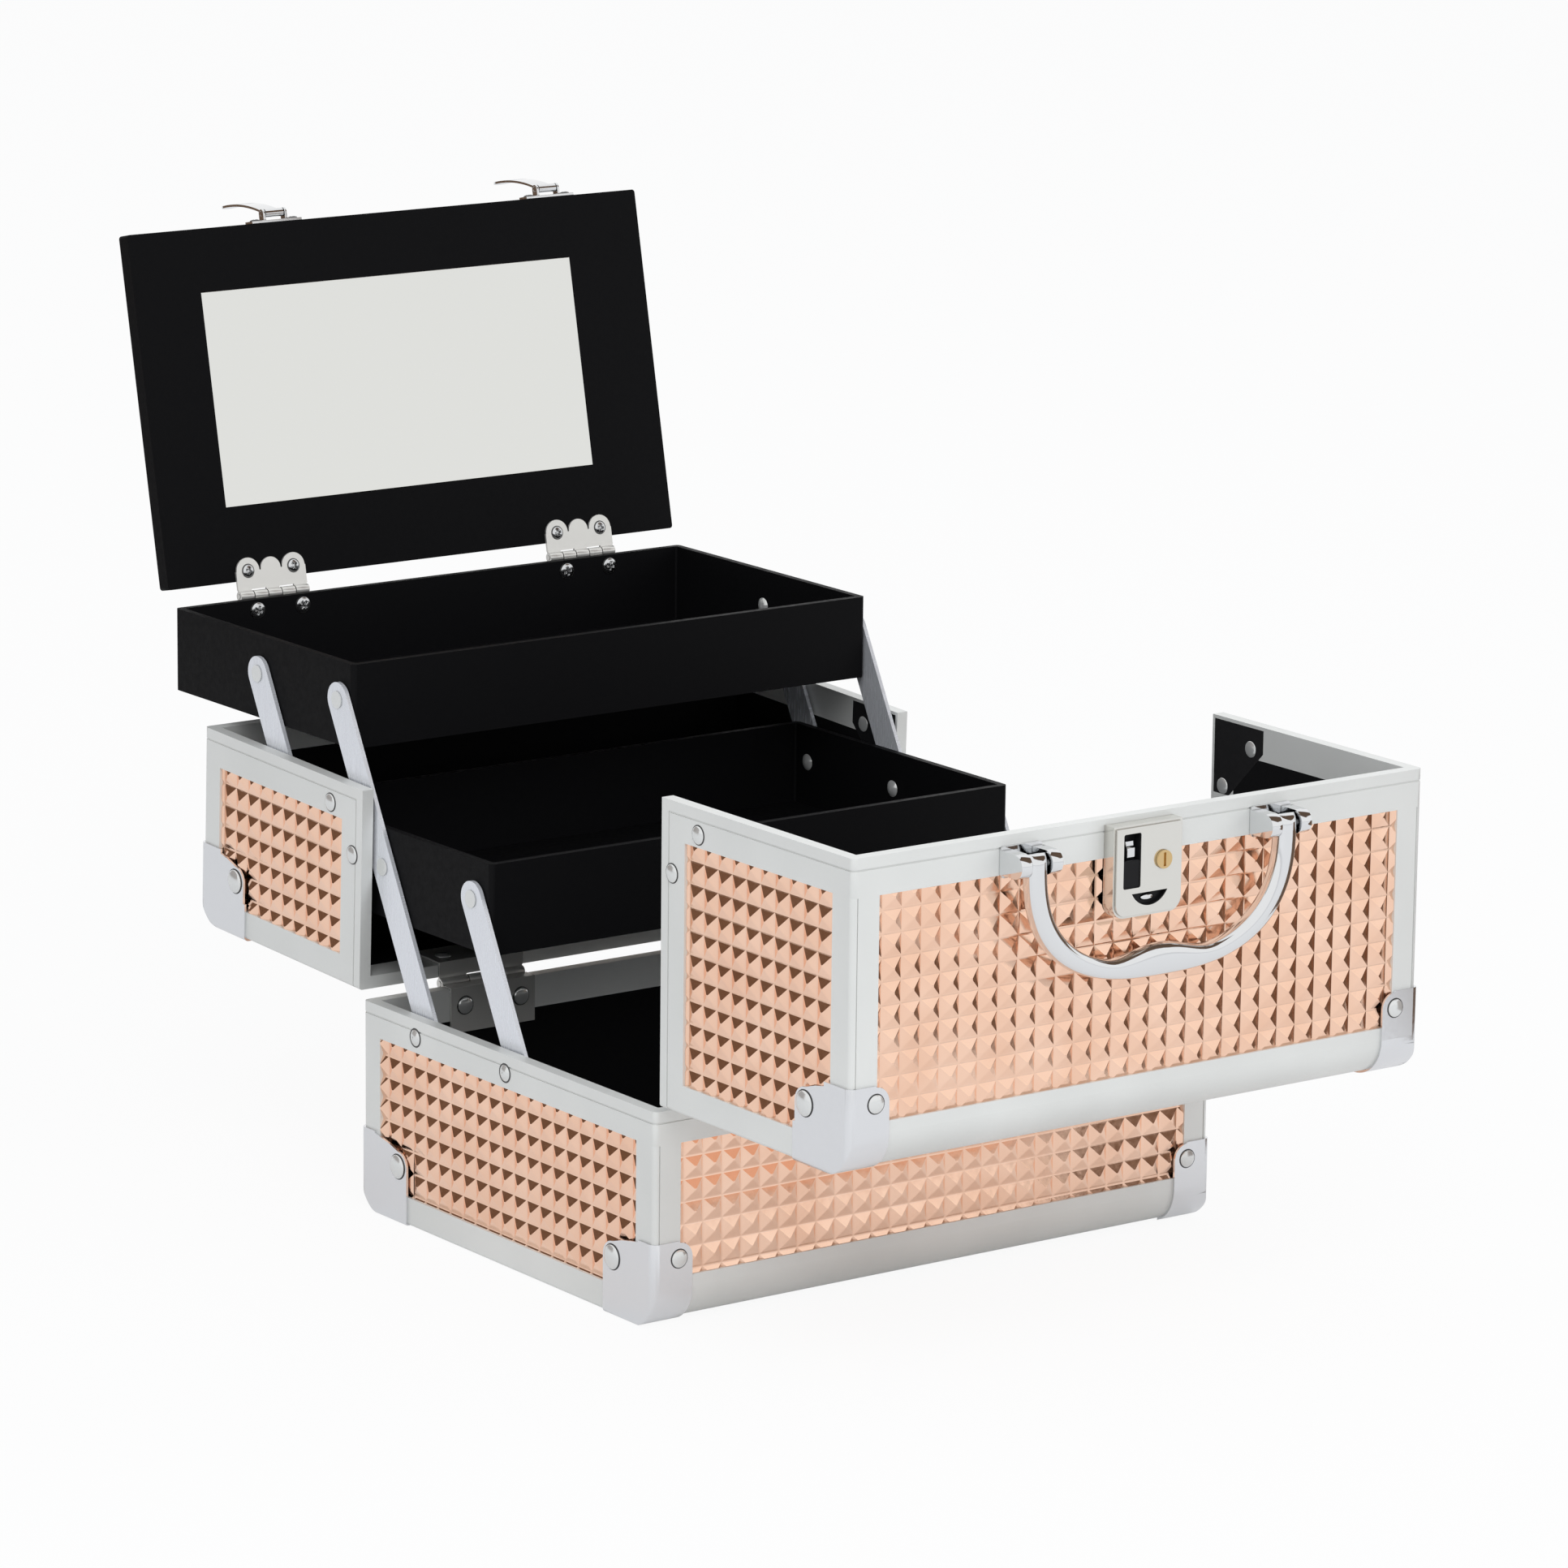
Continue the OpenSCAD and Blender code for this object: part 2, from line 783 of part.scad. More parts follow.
module front_lid_stud_sheets() {
    front_lid_place() lid_stud_sheets(front_share);
}

module front_lid_rim_frame() {
    front_lid_place() lid_rim_frame(front_share);
}

module front_lid_edge_frame() {
    front_lid_place() lid_edge_frame(front_share);
}

module front_lid_corner_guards() {
    front_lid_place() lid_corner_guards(front_share);
}

module front_lid_gussets() {
    color(black) front_lid_place() gussets(front_share);
}

module front_lid_rivets() {
    front_lid_place() lid_rivets(front_share);
}

module front_lid_hinge_leaves() {
    front_lid_place() lid_hinge_leaves();
}

module back_lid_box() {
    back_lid_place() lid_box(back_share);
}

module back_lid_stud_sheets() {
    back_lid_place() lid_stud_sheets(back_share);
}

module back_lid_rim_frame() {
    back_lid_place() lid_rim_frame(back_share);
}

module back_lid_edge_frame() {
    back_lid_place() lid_edge_frame(back_share);
}

module back_lid_corner_guards() {
    back_lid_place() lid_corner_guards(back_share);
}

module back_lid_gussets() {
    color(black) back_lid_place() gussets(back_share);
}

module back_lid_rivets() {
    back_lid_place() lid_rivets(back_share);
}

module back_lid_hinge_leaves() {
    back_lid_place() lid_hinge_leaves();
}

// ---------- Lock and catch ----------

lock_y0 = front_share - lock_from_rim - lock_l;
lock_r = 4;
// Slot of the slider: place across the lock, width and length
slot_x = -5.9;
slot_w = 6;
slot_l = 15.4;
slot_y = lock_y0 + 8.3;
slot_depth = 3;
slide_gap = 0.2;
slider_l = 7.6;
// How far the tongue is narrower than the slot on each side
tongue_side = 0.6;
key_x = 4.9;
key_y = lock_y0 + 15.3;
key_h = 0.8;
key_slot_w = 0.8;
// Crescent opening below the slot: place of its flat top, radius, height and depth
crescent_x = 0.4;
crescent_y = lock_y0 + 6.7;
crescent_r = 7;
crescent_h = 3.8;
crescent_depth = 1.6;

// Step of the lock's face inside its body's outline, and the step's height
lock_step = 0.7;

// Places its children on the front lid's top wall, across from the lock's middle
module at_lock() {
    front_lid_place() translate([-lock_off, 0, lid_h]) children();
}

module lock_outline(inset) {
    translate([0, lock_y0 + inset])
        round_foot(lock_w - 2 * inset, lock_l - 2 * inset, lock_r - inset);
}

module lock_body() {
    color(chrome) at_lock() difference() {
        union() {
            linear_extrude(lock_t - lock_step) lock_outline(0);
            linear_extrude(lock_t) lock_outline(lock_step);
        }
        translate([slot_x, slot_y, lock_t - slot_depth]) linear_extrude(far)
            round_rect(slot_w, slot_l, 0.6);
        translate([key_x, key_y, lock_t - slot_depth]) cylinder(r = key_r + pin_fit, h = far);
        translate([crescent_x, crescent_y, lock_t - crescent_depth]) linear_extrude(far) intersection() {
            translate([0, crescent_r - crescent_h]) circle(crescent_r);
            translate([-crescent_r, -crescent_h]) square([2 * crescent_r, crescent_h]);
        }
    }
}

module lock_slider() {
    color(black) at_lock() translate([slot_x, slot_y + slide_gap, lock_t - slot_depth])
        linear_extrude(slot_depth - 0.4) round_rect(slot_w - 2 * slide_gap, slider_l, 0.5);
}

module lock_tongue() {
    tongue_l = slot_l - slider_l - 2 * slide_gap - slider_travel;
    w = slot_w - 2 * slide_gap - 2 * tongue_side;
    color(chrome) at_lock() translate([slot_x, slot_y + slide_gap + slider_l, lock_t - slot_depth])
        linear_extrude(slot_depth - 1) round_rect(w, tongue_l, 0.4);
}

module key_cylinder() {
    color([0.75, 0.6, 0.3]) at_lock() translate([key_x, key_y, lock_t - slot_depth])
        difference() {
            cylinder(r = key_r, h = slot_depth + key_h);
            block([-key_slot_w / 2, -key_r * 0.75, slot_depth], [key_slot_w / 2, key_r * 0.75, far]);
        }
}

module back_lid_catch() {
    catch_w = 16;
    catch_l = 9;
    catch_t = 1.2;
    y1 = back_share - 1;
    color(chrome) back_lid_place() translate([-lock_off, 0, lid_h]) {
        block([-catch_w / 2, y1 - catch_l, 0], [catch_w / 2, y1, catch_t]);
        block([-catch_w / 4, y1 - 2, catch_t], [catch_w / 4, y1, 2 * catch_t]);
    }
}

// ---------- Handle ----------

handle_pin_r = 1.4;
eye_half = 3.2;
ear_t = 3.6;
ear_r = 3.4;
// Metal left over the ends of the handle's pins
ear_cover = 0.6;
bracket_gap = 0.25;
// Half width of the handle's outline at its pivots
handle_half = handle_x + eye_half;
// Squareness of the handle's curves
curve_p = 2.6;
curve_steps = 24;
// Height of the hump between the finger dips, and the dips' distance from the middle
hump_h = 4;
dip_x = 20;

// A superellipse's point: half width a, depth b, angle t from the pivots' line
function bow(a, b, t) = [a * sign(cos(t)) * pow(abs(cos(t)), 2 / curve_p), -b * pow(sin(t), 2 / curve_p)];
function hump(x) = abs(x) < dip_x ? hump_h * (1 + cos(180 * x / dip_x)) / 2 : 0;
function lifted(p) = [p[0], p[1] + hump(p[0])];

// The handle's outline, its pivots on the X axis
module handle_outline() {
    inner_half = handle_x - eye_half;
    inner_drop = handle_drop - grip_d;
    polygon(concat(
        [for (i = [0:curve_steps]) bow(handle_half, handle_drop, 180 * i / curve_steps)],
        [for (i = [curve_steps:-1:0]) lifted(bow(inner_half, inner_drop, 180 * i / curve_steps))]));
}

// Places its children on the handle's pivot axis
module at_handle() {
    front_lid_place() translate([0, handle_at, lid_h + handle_out]) children();
}

module handle() {
    color(chrome) at_handle() difference() {
        union() {
            translate([0, 0, -handle_t / 2]) linear_extrude(handle_t) handle_outline();
            both_sides() x_rod(handle_t / 2, handle_x - eye_half, handle_x + eye_half);
        }
        x_rod(handle_pin_r + pin_fit, -far, far);
    }
}

module handle_pins() {
    half = eye_half + bracket_gap + ear_t - ear_cover;
    color(chrome) at_handle() both_sides() x_rod(handle_pin_r, handle_x - half, handle_x + half);
}

module handle_brackets() {
    base_t = 1;
    x0 = eye_half + bracket_gap;
    half = x0 + ear_t;
    color(chrome) at_handle() both_sides() translate([handle_x, 0, 0]) difference() {
        union() {
            translate([0, -ear_r - 1, -handle_out]) linear_extrude(base_t)
                round_rect(2 * half, 2 * ear_r + 2, 1.2);
            for (s = [-1, 1]) {
                a = s < 0 ? -half : x0;
                x_rod(ear_r, a, a + ear_t);
                block([a, -ear_r, -handle_out], [a + ear_t, ear_r, 0]);
            }
        }
        x_rod(handle_pin_r, -half + ear_cover, half - ear_cover);
    }
}

// ---------- Trays and arms ----------

// A tray, standing at its front lower edge, with holes for its pivots at the given distances
module tray(depth, height, pivot_h, pivots) {
    floor_t = 2;
    color(black) difference() {
        linear_extrude(height) round_rect(2 * tray_half_w, depth, tray_r);
        translate([0, tray_wall, floor_t]) linear_extrude(far)
            round_rect(2 * tray_inner_x, depth - 2 * tray_wall, 0.6);
        for (y = pivots) translate([0, y, pivot_h]) x_rod(pivot_r + pin_fit, -far, far);
    }
}

// A tray's pivots on both sides, with domed heads inside and flat heads outside the arms
module tray_pins(points) {
    color(chrome) both_sides() for (p = points) translate([0, p[0], p[1]]) {
        x_rod(pivot_r, tray_inner_x, arm_outer_x + head_gap);
        x_rod(pivot_head_r, arm_outer_x + head_gap, arm_outer_x + flat_head_h);
        translate([tray_inner_x, 0, 0]) rotate([0, -90, 0]) dome(pivot_head_r, rivet_h);
    }
}

module lower_tray() {
    translate([0, lower_tray_at[0], lower_tray_at[1]]) tray(lower_tray_d, tray_h, tray_pivot_h,
        [lower_front[0], lower_long[0], lower_rear[0]] - [1, 1, 1] * lower_tray_at[0]);
}

module upper_tray() {
    translate([0, upper_tray_at[0], upper_tray_at[1]]) tray(upper_tray_d, upper_tray_h, upper_pivot_h,
        [upper_long[0], upper_rear[0]] - [1, 1] * upper_tray_at[0]);
}

module lower_tray_pins() {
    tray_pins([lower_front, lower_long, lower_rear]);
}

module upper_tray_pins() {
    tray_pins([upper_long, upper_rear]);
}

// Pivots riveted through the base's walls, with a spacing collar behind each arm
module base_arm_pins() {
    color(chrome) both_sides() for (p = [base_long, base_front]) translate([0, p[0], p[1]]) {
        x_rod(pivot_r, arm_inner_x - head_gap, case_w / 2);
        x_rod(pivot_head_r, arm_outer_x + head_gap, inner_x);
        translate([case_w / 2, 0, 0]) rotate([0, 90, 0]) dome(pivot_head_r, rivet_h);
        translate([arm_inner_x - head_gap, 0, 0]) rotate([0, -90, 0]) dome(pivot_head_r, rivet_h);
    }
}

// A flat arm on both sides, from its lowest pivot up over a number of steps
module arms(foot, steps) {
    color(chrome) both_sides() translate([arm_inner_x, foot[0], foot[1]]) rotate([-arm_lean, 0, 0])
        rotate([90, 0, 90]) linear_extrude(arm_t) difference() {
            union() {
                translate([-arm_w / 2, 0]) square([arm_w, steps * arm_step]);
                for (z = [0, steps * arm_step]) translate([0, z]) circle(arm_w / 2);
            }
            for (i = [0:steps]) translate([0, i * arm_step]) circle(pivot_r + pin_fit);
        }
}

module long_arms() {
    arms(base_long, 2);
}

module front_arms() {
    arms(base_front, 1);
}

module rear_arms() {
    arms(lower_rear, 1);
}

// ---------- Mirror ----------

mirror_knuckle_r = 1.5;
mirror_knuckle_l = mirror_hinge_w / 5 - knuckle_gap;
mirror_pin_r = 0.7;
mirror_leaf_t = 0.8;
// Places of a mirror hinge's screws off its middle and off its axis
mirror_screw_x = 8.2;
mirror_screw_y = 7.6;
// Distance of the leaf's full width from the hinge axis
mirror_leaf_from = 1.9;
// Depths of the tray leaf's lower edge, its upper edge and its knuckles' necks below the hinge axis
tray_leaf_foot = 12;
tray_leaf_top = 2;
knuckle_neck = 0.5;
// Depth of the tray's screws below its rim
tray_screw_drop = 3.4;
tray_screw_r = 2.4;
board_screw_r = 1.9;
screw_h = 0.8;

// Places its children on the mirror's hinge axis, in the closed board's frame
module at_mirror() {
    translate([0, mirror_axis[0], mirror_axis[1]]) rotate([-mirror_open, 0, 0]) children();
}

// Knuckles of a mirror hinge, numbered 0 to 4 across its width
module mirror_knuckles(numbers) {
    for (k = numbers) {
        x0 = -mirror_hinge_w / 2 + k * mirror_hinge_w / 5 + knuckle_gap / 2;
        x_rod(mirror_knuckle_r, x0, x0 + mirror_knuckle_l);
        translate([x0, 0, 0]) children();
    }
}

module mirror_tray_leaves() {
    color(chrome) both_sides() translate([mirror_hinge_x, mirror_axis[0], mirror_axis[1]]) difference() {
        union() {
            block([-mirror_hinge_w / 2, -mirror_axis_out, -tray_leaf_foot],
                [mirror_hinge_w / 2, -mirror_axis_out + mirror_leaf_t, -tray_leaf_top]);
            mirror_knuckles([1, 3])
                block([0, -mirror_axis_out, -tray_leaf_top - mirror_leaf_t],
                    [mirror_knuckle_l, mirror_knuckle_r, -knuckle_neck]);
        }
        x_rod(mirror_pin_r + pin_fit, -far, far);
    }
}

module mirror_hinge_pins() {
    color(chrome) both_sides() translate([mirror_hinge_x, mirror_axis[0], mirror_axis[1]])
        x_rod(mirror_pin_r, -mirror_hinge_w / 2, mirror_hinge_w / 2);
}

// Screw heads on the inside of the tray's rear wall
module mirror_tray_screws() {
    y = upper_tray_at[0] + upper_tray_d - tray_wall;
    z = upper_tray_at[1] + upper_tray_h - tray_screw_drop;
    color(chrome) both_sides() for (s = [-1, 1])
        translate([mirror_hinge_x + s * mirror_screw_x, y, z]) rotate([90, 0, 0])
            dome(tray_screw_r, screw_h);
}

// Places its children at the glass's left upper corner, in the closed board's frame
module glass_place() {
    translate([-glass_w / 2 - glass_off, -board_back - glass_from - glass_l, 0]) children();
}

module mirror_board() {
    color(black) at_mirror() difference() {
        translate([0, -board_back - board_len, board_rise]) linear_extrude(board_t)
            round_rect(2 * board_half_w, board_len, 1);
        glass_place() block([0, 0, -1], [glass_w, glass_l, board_rise + glass_t]);
    }
}

module mirror_glass() {
    color([0.8, 0.82, 0.8]) at_mirror() glass_place()
        block([0, 0, board_rise], [glass_w, glass_l, board_rise + glass_t]);
}

// A three-lobed leaf on the board's front face
module mirror_board_leaves() {
    lobe_r = 4.1;
    mid_lobe_r = 3.6;
    color(chrome) at_mirror() both_sides() translate([mirror_hinge_x, 0, 0]) difference() {
        union() {
            translate([0, 0, board_rise - mirror_leaf_t]) linear_extrude(mirror_leaf_t) {
                translate([-mirror_hinge_w / 2, -mirror_screw_y])
                    square([mirror_hinge_w, mirror_screw_y - mirror_leaf_from]);
                for (s = [-1, 1]) translate([s * mirror_screw_x, -mirror_screw_y]) circle(lobe_r);
                translate([0, -mirror_screw_y]) circle(mid_lobe_r);
            }
            mirror_knuckles([0, 2, 4])
                block([0, -mirror_leaf_from - 1, board_rise - mirror_leaf_t],
                    [mirror_knuckle_l, 0, board_rise]);
        }
        x_rod(mirror_pin_r + pin_fit, -far, far);
    }
}

module mirror_board_screws() {
    color(chrome) at_mirror() both_sides() for (s = [-1, 1])
        translate([mirror_hinge_x + s * mirror_screw_x, -mirror_screw_y, board_rise - mirror_leaf_t])
            rotate([180, 0, 0]) dome(board_screw_r, screw_h);
}

// ---------- Clasps on the board's free edge ----------

// Places its children at both clasps, with the pivot axis at the origin of the closed board's frame
module at_clasps() {
    for (x = [clasp_left_x, clasp_right_x]) at_mirror()
        translate([x, clasp_pivot[0], clasp_pivot[1]]) children();
}

module clasp_plates() {
    color(chrome) at_clasps() difference() {
        union() {
            block([-clasp_w / 2, clasp_pivot_out - clasp_plate_t, -board_t / 2 + 0.3],
                [clasp_w / 2, clasp_pivot_out, board_t / 2 - 0.3]);
            for (x = [-clasp_ear_x - clasp_ear_t, clasp_ear_x]) {
                x_rod(clasp_barrel_r, x, x + clasp_ear_t);
                block([x, 0, -clasp_barrel_r], [x + clasp_ear_t, clasp_pivot_out, clasp_barrel_r]);
            }
        }
        x_rod(clasp_pin_r, -far, far);
    }
}

module clasp_pins() {
    half = clasp_ear_x + clasp_ear_t;
    color(chrome) at_clasps() x_rod(clasp_pin_r, -half, half);
}

module clasp_screws() {
    color(black) at_clasps() for (s = [-1, 1])
        translate([s * (clasp_w / 2 - clasp_screw_at), clasp_pivot_out - clasp_plate_t, 0])
            rotate([90, 0, 0]) dome(clasp_screw_r, clasp_screw_h);
}

// A curved tongue that rises from its pivot, hollow towards +Y
module clasp_tongue() {
    bulge = 1.6;
    t = 0.7;
    r = (tongue_len * tongue_len / 4 + bulge * bulge) / (2 * bulge);
    difference() {
        union() {
            intersection() {
                translate([0, r - bulge, tongue_len / 2]) difference() {
                    x_rod(r + t / 2, -tongue_w / 2, tongue_w / 2, $fn = 180);
                    x_rod(r - t / 2, -tongue_w, tongue_w, $fn = 180);
                }
                rotate([90, 0, 0]) translate([0, 0, -clasp_barrel_r]) linear_extrude(3 * clasp_barrel_r) {
                    translate([-tongue_w / 2, 0]) square([tongue_w, tongue_len - tongue_w / 2]);
                    translate([0, tongue_len - tongue_w / 2]) circle(tongue_w / 2);
                }
            }
            x_rod(clasp_barrel_r - 0.1, -tongue_w / 2, tongue_w / 2);
        }
        x_rod(clasp_pin_r + pin_fit, -far, far);
    }
}

module at_clasp_rest(x) {
    at_mirror() translate([x, clasp_pivot[0], clasp_pivot[1]]) rotate([clasp_rest, 0, 0]) children();
}

module clasp_left_tongue() {
    color(chrome) at_clasp_rest(clasp_left_x) clasp_tongue();
}

module clasp_right_tongue() {
    color(chrome) at_clasp_rest(clasp_right_x) clasp_tongue();
}

base_box();
base_bottom_panel();
base_stud_sheets();
base_top_frame();
base_bottom_frame();
base_corner_posts();
base_corner_guards();
base_rivets();
base_hinge_leaves();
case_hinge_pins();
base_arm_pins();
front_lid_box();
front_lid_stud_sheets();
front_lid_rim_frame();
front_lid_edge_frame();
front_lid_corner_guards();
front_lid_gussets();
front_lid_rivets();
front_lid_hinge_leaves();
handle_brackets();
handle_pins();
handle();
lock_body();
lock_slider();
lock_tongue();
key_cylinder();
back_lid_box();
back_lid_stud_sheets();
back_lid_rim_frame();
back_lid_edge_frame();
back_lid_corner_guards();
back_lid_gussets();
back_lid_rivets();
back_lid_hinge_leaves();
back_lid_catch();
lower_tray();
lower_tray_pins();
upper_tray();
upper_tray_pins();
long_arms();
front_arms();
rear_arms();
mirror_tray_leaves();
mirror_tray_screws();
mirror_hinge_pins();
mirror_board();
mirror_glass();
mirror_board_leaves();
mirror_board_screws();
clasp_plates();
clasp_screws();
clasp_pins();
clasp_left_tongue();
clasp_right_tongue();
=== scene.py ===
"""Looks of the folding cosmetics case: materials, pressed studs, metal details, floor and light.

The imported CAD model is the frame. Lengths in the constants below are millimetres, and
everything handed to Blender is in metres.
"""

import json
import math

import bmesh
import bpy
from mathutils import Matrix, Vector


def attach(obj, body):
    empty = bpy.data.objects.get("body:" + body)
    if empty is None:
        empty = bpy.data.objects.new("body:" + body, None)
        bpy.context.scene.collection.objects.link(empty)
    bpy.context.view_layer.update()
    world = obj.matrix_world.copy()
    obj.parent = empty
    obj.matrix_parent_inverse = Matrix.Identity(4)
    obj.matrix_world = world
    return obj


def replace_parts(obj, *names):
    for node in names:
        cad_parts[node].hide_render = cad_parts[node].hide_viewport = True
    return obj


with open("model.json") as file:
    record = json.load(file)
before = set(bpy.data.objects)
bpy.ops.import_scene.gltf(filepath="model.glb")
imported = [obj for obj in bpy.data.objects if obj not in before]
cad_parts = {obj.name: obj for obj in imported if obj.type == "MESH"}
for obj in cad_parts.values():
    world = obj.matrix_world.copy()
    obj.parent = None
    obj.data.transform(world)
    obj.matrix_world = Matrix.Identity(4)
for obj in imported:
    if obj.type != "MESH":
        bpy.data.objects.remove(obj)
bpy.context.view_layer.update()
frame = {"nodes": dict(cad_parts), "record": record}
nodes = frame["nodes"]

MM = 0.001

# ---------------------------------------------------------------- camera
# The viewpoint that was fitted to the straight edges of the box in the photograph
CAMERA_AZIMUTH = -36.17
CAMERA_ELEVATION = 12.89
CAMERA_ROLL = 0.64
CAMERA_DISTANCE = 2106.4
CAMERA_AIM = (-0.11, 127.28)
CAMERA_LENS = 162.8
SENSOR = 36.0


def make_camera():
    azimuth, elevation, roll = map(math.radians, (CAMERA_AZIMUTH, CAMERA_ELEVATION, CAMERA_ROLL))
    back = Vector((math.sin(azimuth) * math.cos(elevation),
                   -math.cos(azimuth) * math.cos(elevation), math.sin(elevation)))
    right = Vector((math.cos(azimuth), math.sin(azimuth), 0))
    up = back.cross(right)
    rolled_right = math.cos(roll) * right + math.sin(roll) * up
    rolled_up = math.cos(roll) * up - math.sin(roll) * right
    place = back * CAMERA_DISTANCE + rolled_right * CAMERA_AIM[0] + rolled_up * CAMERA_AIM[1]
    data = bpy.data.cameras.new("camera")
    data.lens = CAMERA_LENS
    data.sensor_width = SENSOR
    data.clip_start = 0.1
    data.clip_end = 100
    camera = bpy.data.objects.new("camera", data)
    camera.matrix_world = Matrix.Translation(place * MM) @ Matrix(
        (rolled_right, rolled_up, back)).transposed().to_4x4()
    bpy.context.scene.collection.objects.link(camera)
    bpy.context.scene.camera = camera


# ---------------------------------------------------------------- materials

# Range that most of a noise texture's values lie in
NOISE_LOW = 0.3
NOISE_HIGH = 0.7
# Painted shade in gaps: samples that look for close surfaces, and the shares of open room that
# count as dark and clear
CREVICE_SAMPLES = 12
CREVICE_DARK = 0.15
CREVICE_CLEAR = 0.75
# Depth of the fine bump on metal, in metres
PLATE_BUMP = 0.00003


def new_material(name, color, metallic, roughness, **inputs):
    """A Principled material with its constants on the shader's own sockets."""
    material = bpy.data.materials.new(name)
    material.use_nodes = True
    shader = material.node_tree.nodes["Principled BSDF"]
    shader.inputs["Base Color"].default_value = (*color, 1)
    shader.inputs["Metallic"].default_value = metallic
    shader.inputs["Roughness"].default_value = roughness
    for key, value in inputs.items():
        shader.inputs[key.replace("_", " ")].default_value = value
    return material


def noise(material, scale, detail=3.0, stretch=(1, 1, 1)):
    """A noise texture on the object's own coordinates in metres, each times its stretch."""
    tree = material.node_tree
    where = tree.nodes.new("ShaderNodeTexCoord")
    mapping = tree.nodes.new("ShaderNodeMapping")
    mapping.inputs["Scale"].default_value = stretch
    texture = tree.nodes.new("ShaderNodeTexNoise")
    texture.inputs["Scale"].default_value = scale
    texture.inputs["Detail"].default_value = detail
    tree.links.new(where.outputs["Object"], mapping.inputs["Vector"])
    tree.links.new(mapping.outputs["Vector"], texture.inputs["Vector"])
    return texture.outputs["Fac"]


def add_bump(material, height, strength, depth):
    """Adds a bump of the given depth in metres, on top of any bump that is there."""
    tree = material.node_tree
    shader = tree.nodes["Principled BSDF"]
    bump = tree.nodes.new("ShaderNodeBump")
    bump.inputs["Strength"].default_value = strength
    bump.inputs["Distance"].default_value = depth
    tree.links.new(height, bump.inputs["Height"])
    if shader.inputs["Normal"].links:
        tree.links.new(shader.inputs["Normal"].links[0].from_socket, bump.inputs["Normal"])
    tree.links.new(bump.outputs["Normal"], shader.inputs["Normal"])


def vary_roughness(material, source, low, high):
    """Lets the roughness follow a texture between two values."""
    tree = material.node_tree
    spread = tree.nodes.new("ShaderNodeMapRange")
    spread.inputs["From Min"].default_value = NOISE_LOW
    spread.inputs["From Max"].default_value = NOISE_HIGH
    spread.inputs["To Min"].default_value = low
    spread.inputs["To Max"].default_value = high
    tree.links.new(source, spread.inputs["Value"])
    tree.links.new(spread.outputs["Result"], tree.nodes["Principled BSDF"].inputs["Roughness"])


def vary_color(material, source, dark, light):
    """Lets the base colour follow a texture between two tones."""
    tree = material.node_tree
    ramp = tree.nodes.new("ShaderNodeValToRGB")
    ramp.color_ramp.elements[0].position = NOISE_LOW
    ramp.color_ramp.elements[1].position = NOISE_HIGH
    ramp.color_ramp.elements[0].color = (*dark, 1)
    ramp.color_ramp.elements[1].color = (*light, 1)
    tree.links.new(source, ramp.inputs["Fac"])
    tree.links.new(ramp.outputs["Color"], tree.nodes["Principled BSDF"].inputs["Base Color"])


def paint_crevice_shade(material, reach, dark):
    """Painted shade: darkens the base colour where other surfaces are close, as shade does in
    narrow gaps.
    """
    tree = material.node_tree
    color = tree.nodes["Principled BSDF"].inputs["Base Color"]
    near = tree.nodes.new("ShaderNodeAmbientOcclusion")
    near.samples = CREVICE_SAMPLES
    near.inputs["Distance"].default_value = reach
    ramp = tree.nodes.new("ShaderNodeValToRGB")
    ramp.color_ramp.elements[0].position = CREVICE_DARK
    ramp.color_ramp.elements[1].position = CREVICE_CLEAR
    ramp.color_ramp.elements[0].color = (*dark, 1)
    ramp.color_ramp.elements[1].color = color.default_value
    tree.links.new(near.outputs["AO"], ramp.inputs["Fac"])
    tree.links.new(ramp.outputs["Color"], color)


def satin_aluminium():
    material = new_material("satin_aluminium", (0.72, 0.73, 0.71), 0.35, 0.36)
    vary_color(material, noise(material, 24, 2), (0.69, 0.70, 0.68), (0.75, 0.76, 0.74))
    vary_roughness(material, noise(material, 900, 4), 0.35, 0.45)
    add_bump(material, noise(material, 2600, 2), 0.12, PLATE_BUMP)
    return material


def stud_foil():
    material = new_material("rose_foil", (0.95, 0.635, 0.475), 1, 0.16)
    vary_color(material, noise(material, 60, 2), (0.92, 0.595, 0.435), (0.98, 0.675, 0.515))
    vary_roughness(material, noise(material, 500, 3), 0.09, 0.17)
    add_bump(material, noise(material, 420, 2), 0.2, 0.00005)
    return material


def matt_black(name, color, roughness, grain, depth, gloss=0.06):
    material = new_material(name, color, 0, roughness, Specular_IOR_Level=gloss)
    vary_roughness(material, noise(material, grain * 0.4, 3), roughness - 0.06, roughness + 0.06)
    add_bump(material, noise(material, grain, 4), 0.5, depth)
    return material


def plated(name, color, roughness, metallic=1.0, shade_reach=0.0012, dark=None, grain=900,
           strength=0.08):
    material = new_material(name, color, metallic, roughness)
    # Painted shade: the base colour darkens where other surfaces are close, within the given reach,
    # to a dark tone that is by default a tenth of the base colour
    if shade_reach:
        paint_crevice_shade(material, shade_reach, dark or [0.1 * c for c in color])
    vary_roughness(material, noise(material, grain, 3), roughness * 0.8, roughness * 1.25)
    add_bump(material, noise(material, grain * 0.5, 2), strength, PLATE_BUMP)
    return material


def arm_strip():
    """Plated strip with fine streaks, drawn out by stretching the noise in the YZ plane."""
    material = new_material("arm_strip", (0.74, 0.76, 0.80), 0.45, 0.26)
    lines = noise(material, 40, 2, stretch=(1, 24, 2))
    vary_roughness(material, lines, 0.2, 0.32)
    add_bump(material, lines, 0.04, 0.00001)
    return material


def silvered_glass():
    material = new_material("silvered_glass", (0.74, 0.745, 0.72), 1, 0.04)
    vary_roughness(material, noise(material, 30, 2), 0.03, 0.06)
    return material


def brass():
    material = new_material("brass", (0.72, 0.52, 0.26), 1, 0.3)
    add_bump(material, noise(material, 1500, 2), 0.15, PLATE_BUMP)
    return material
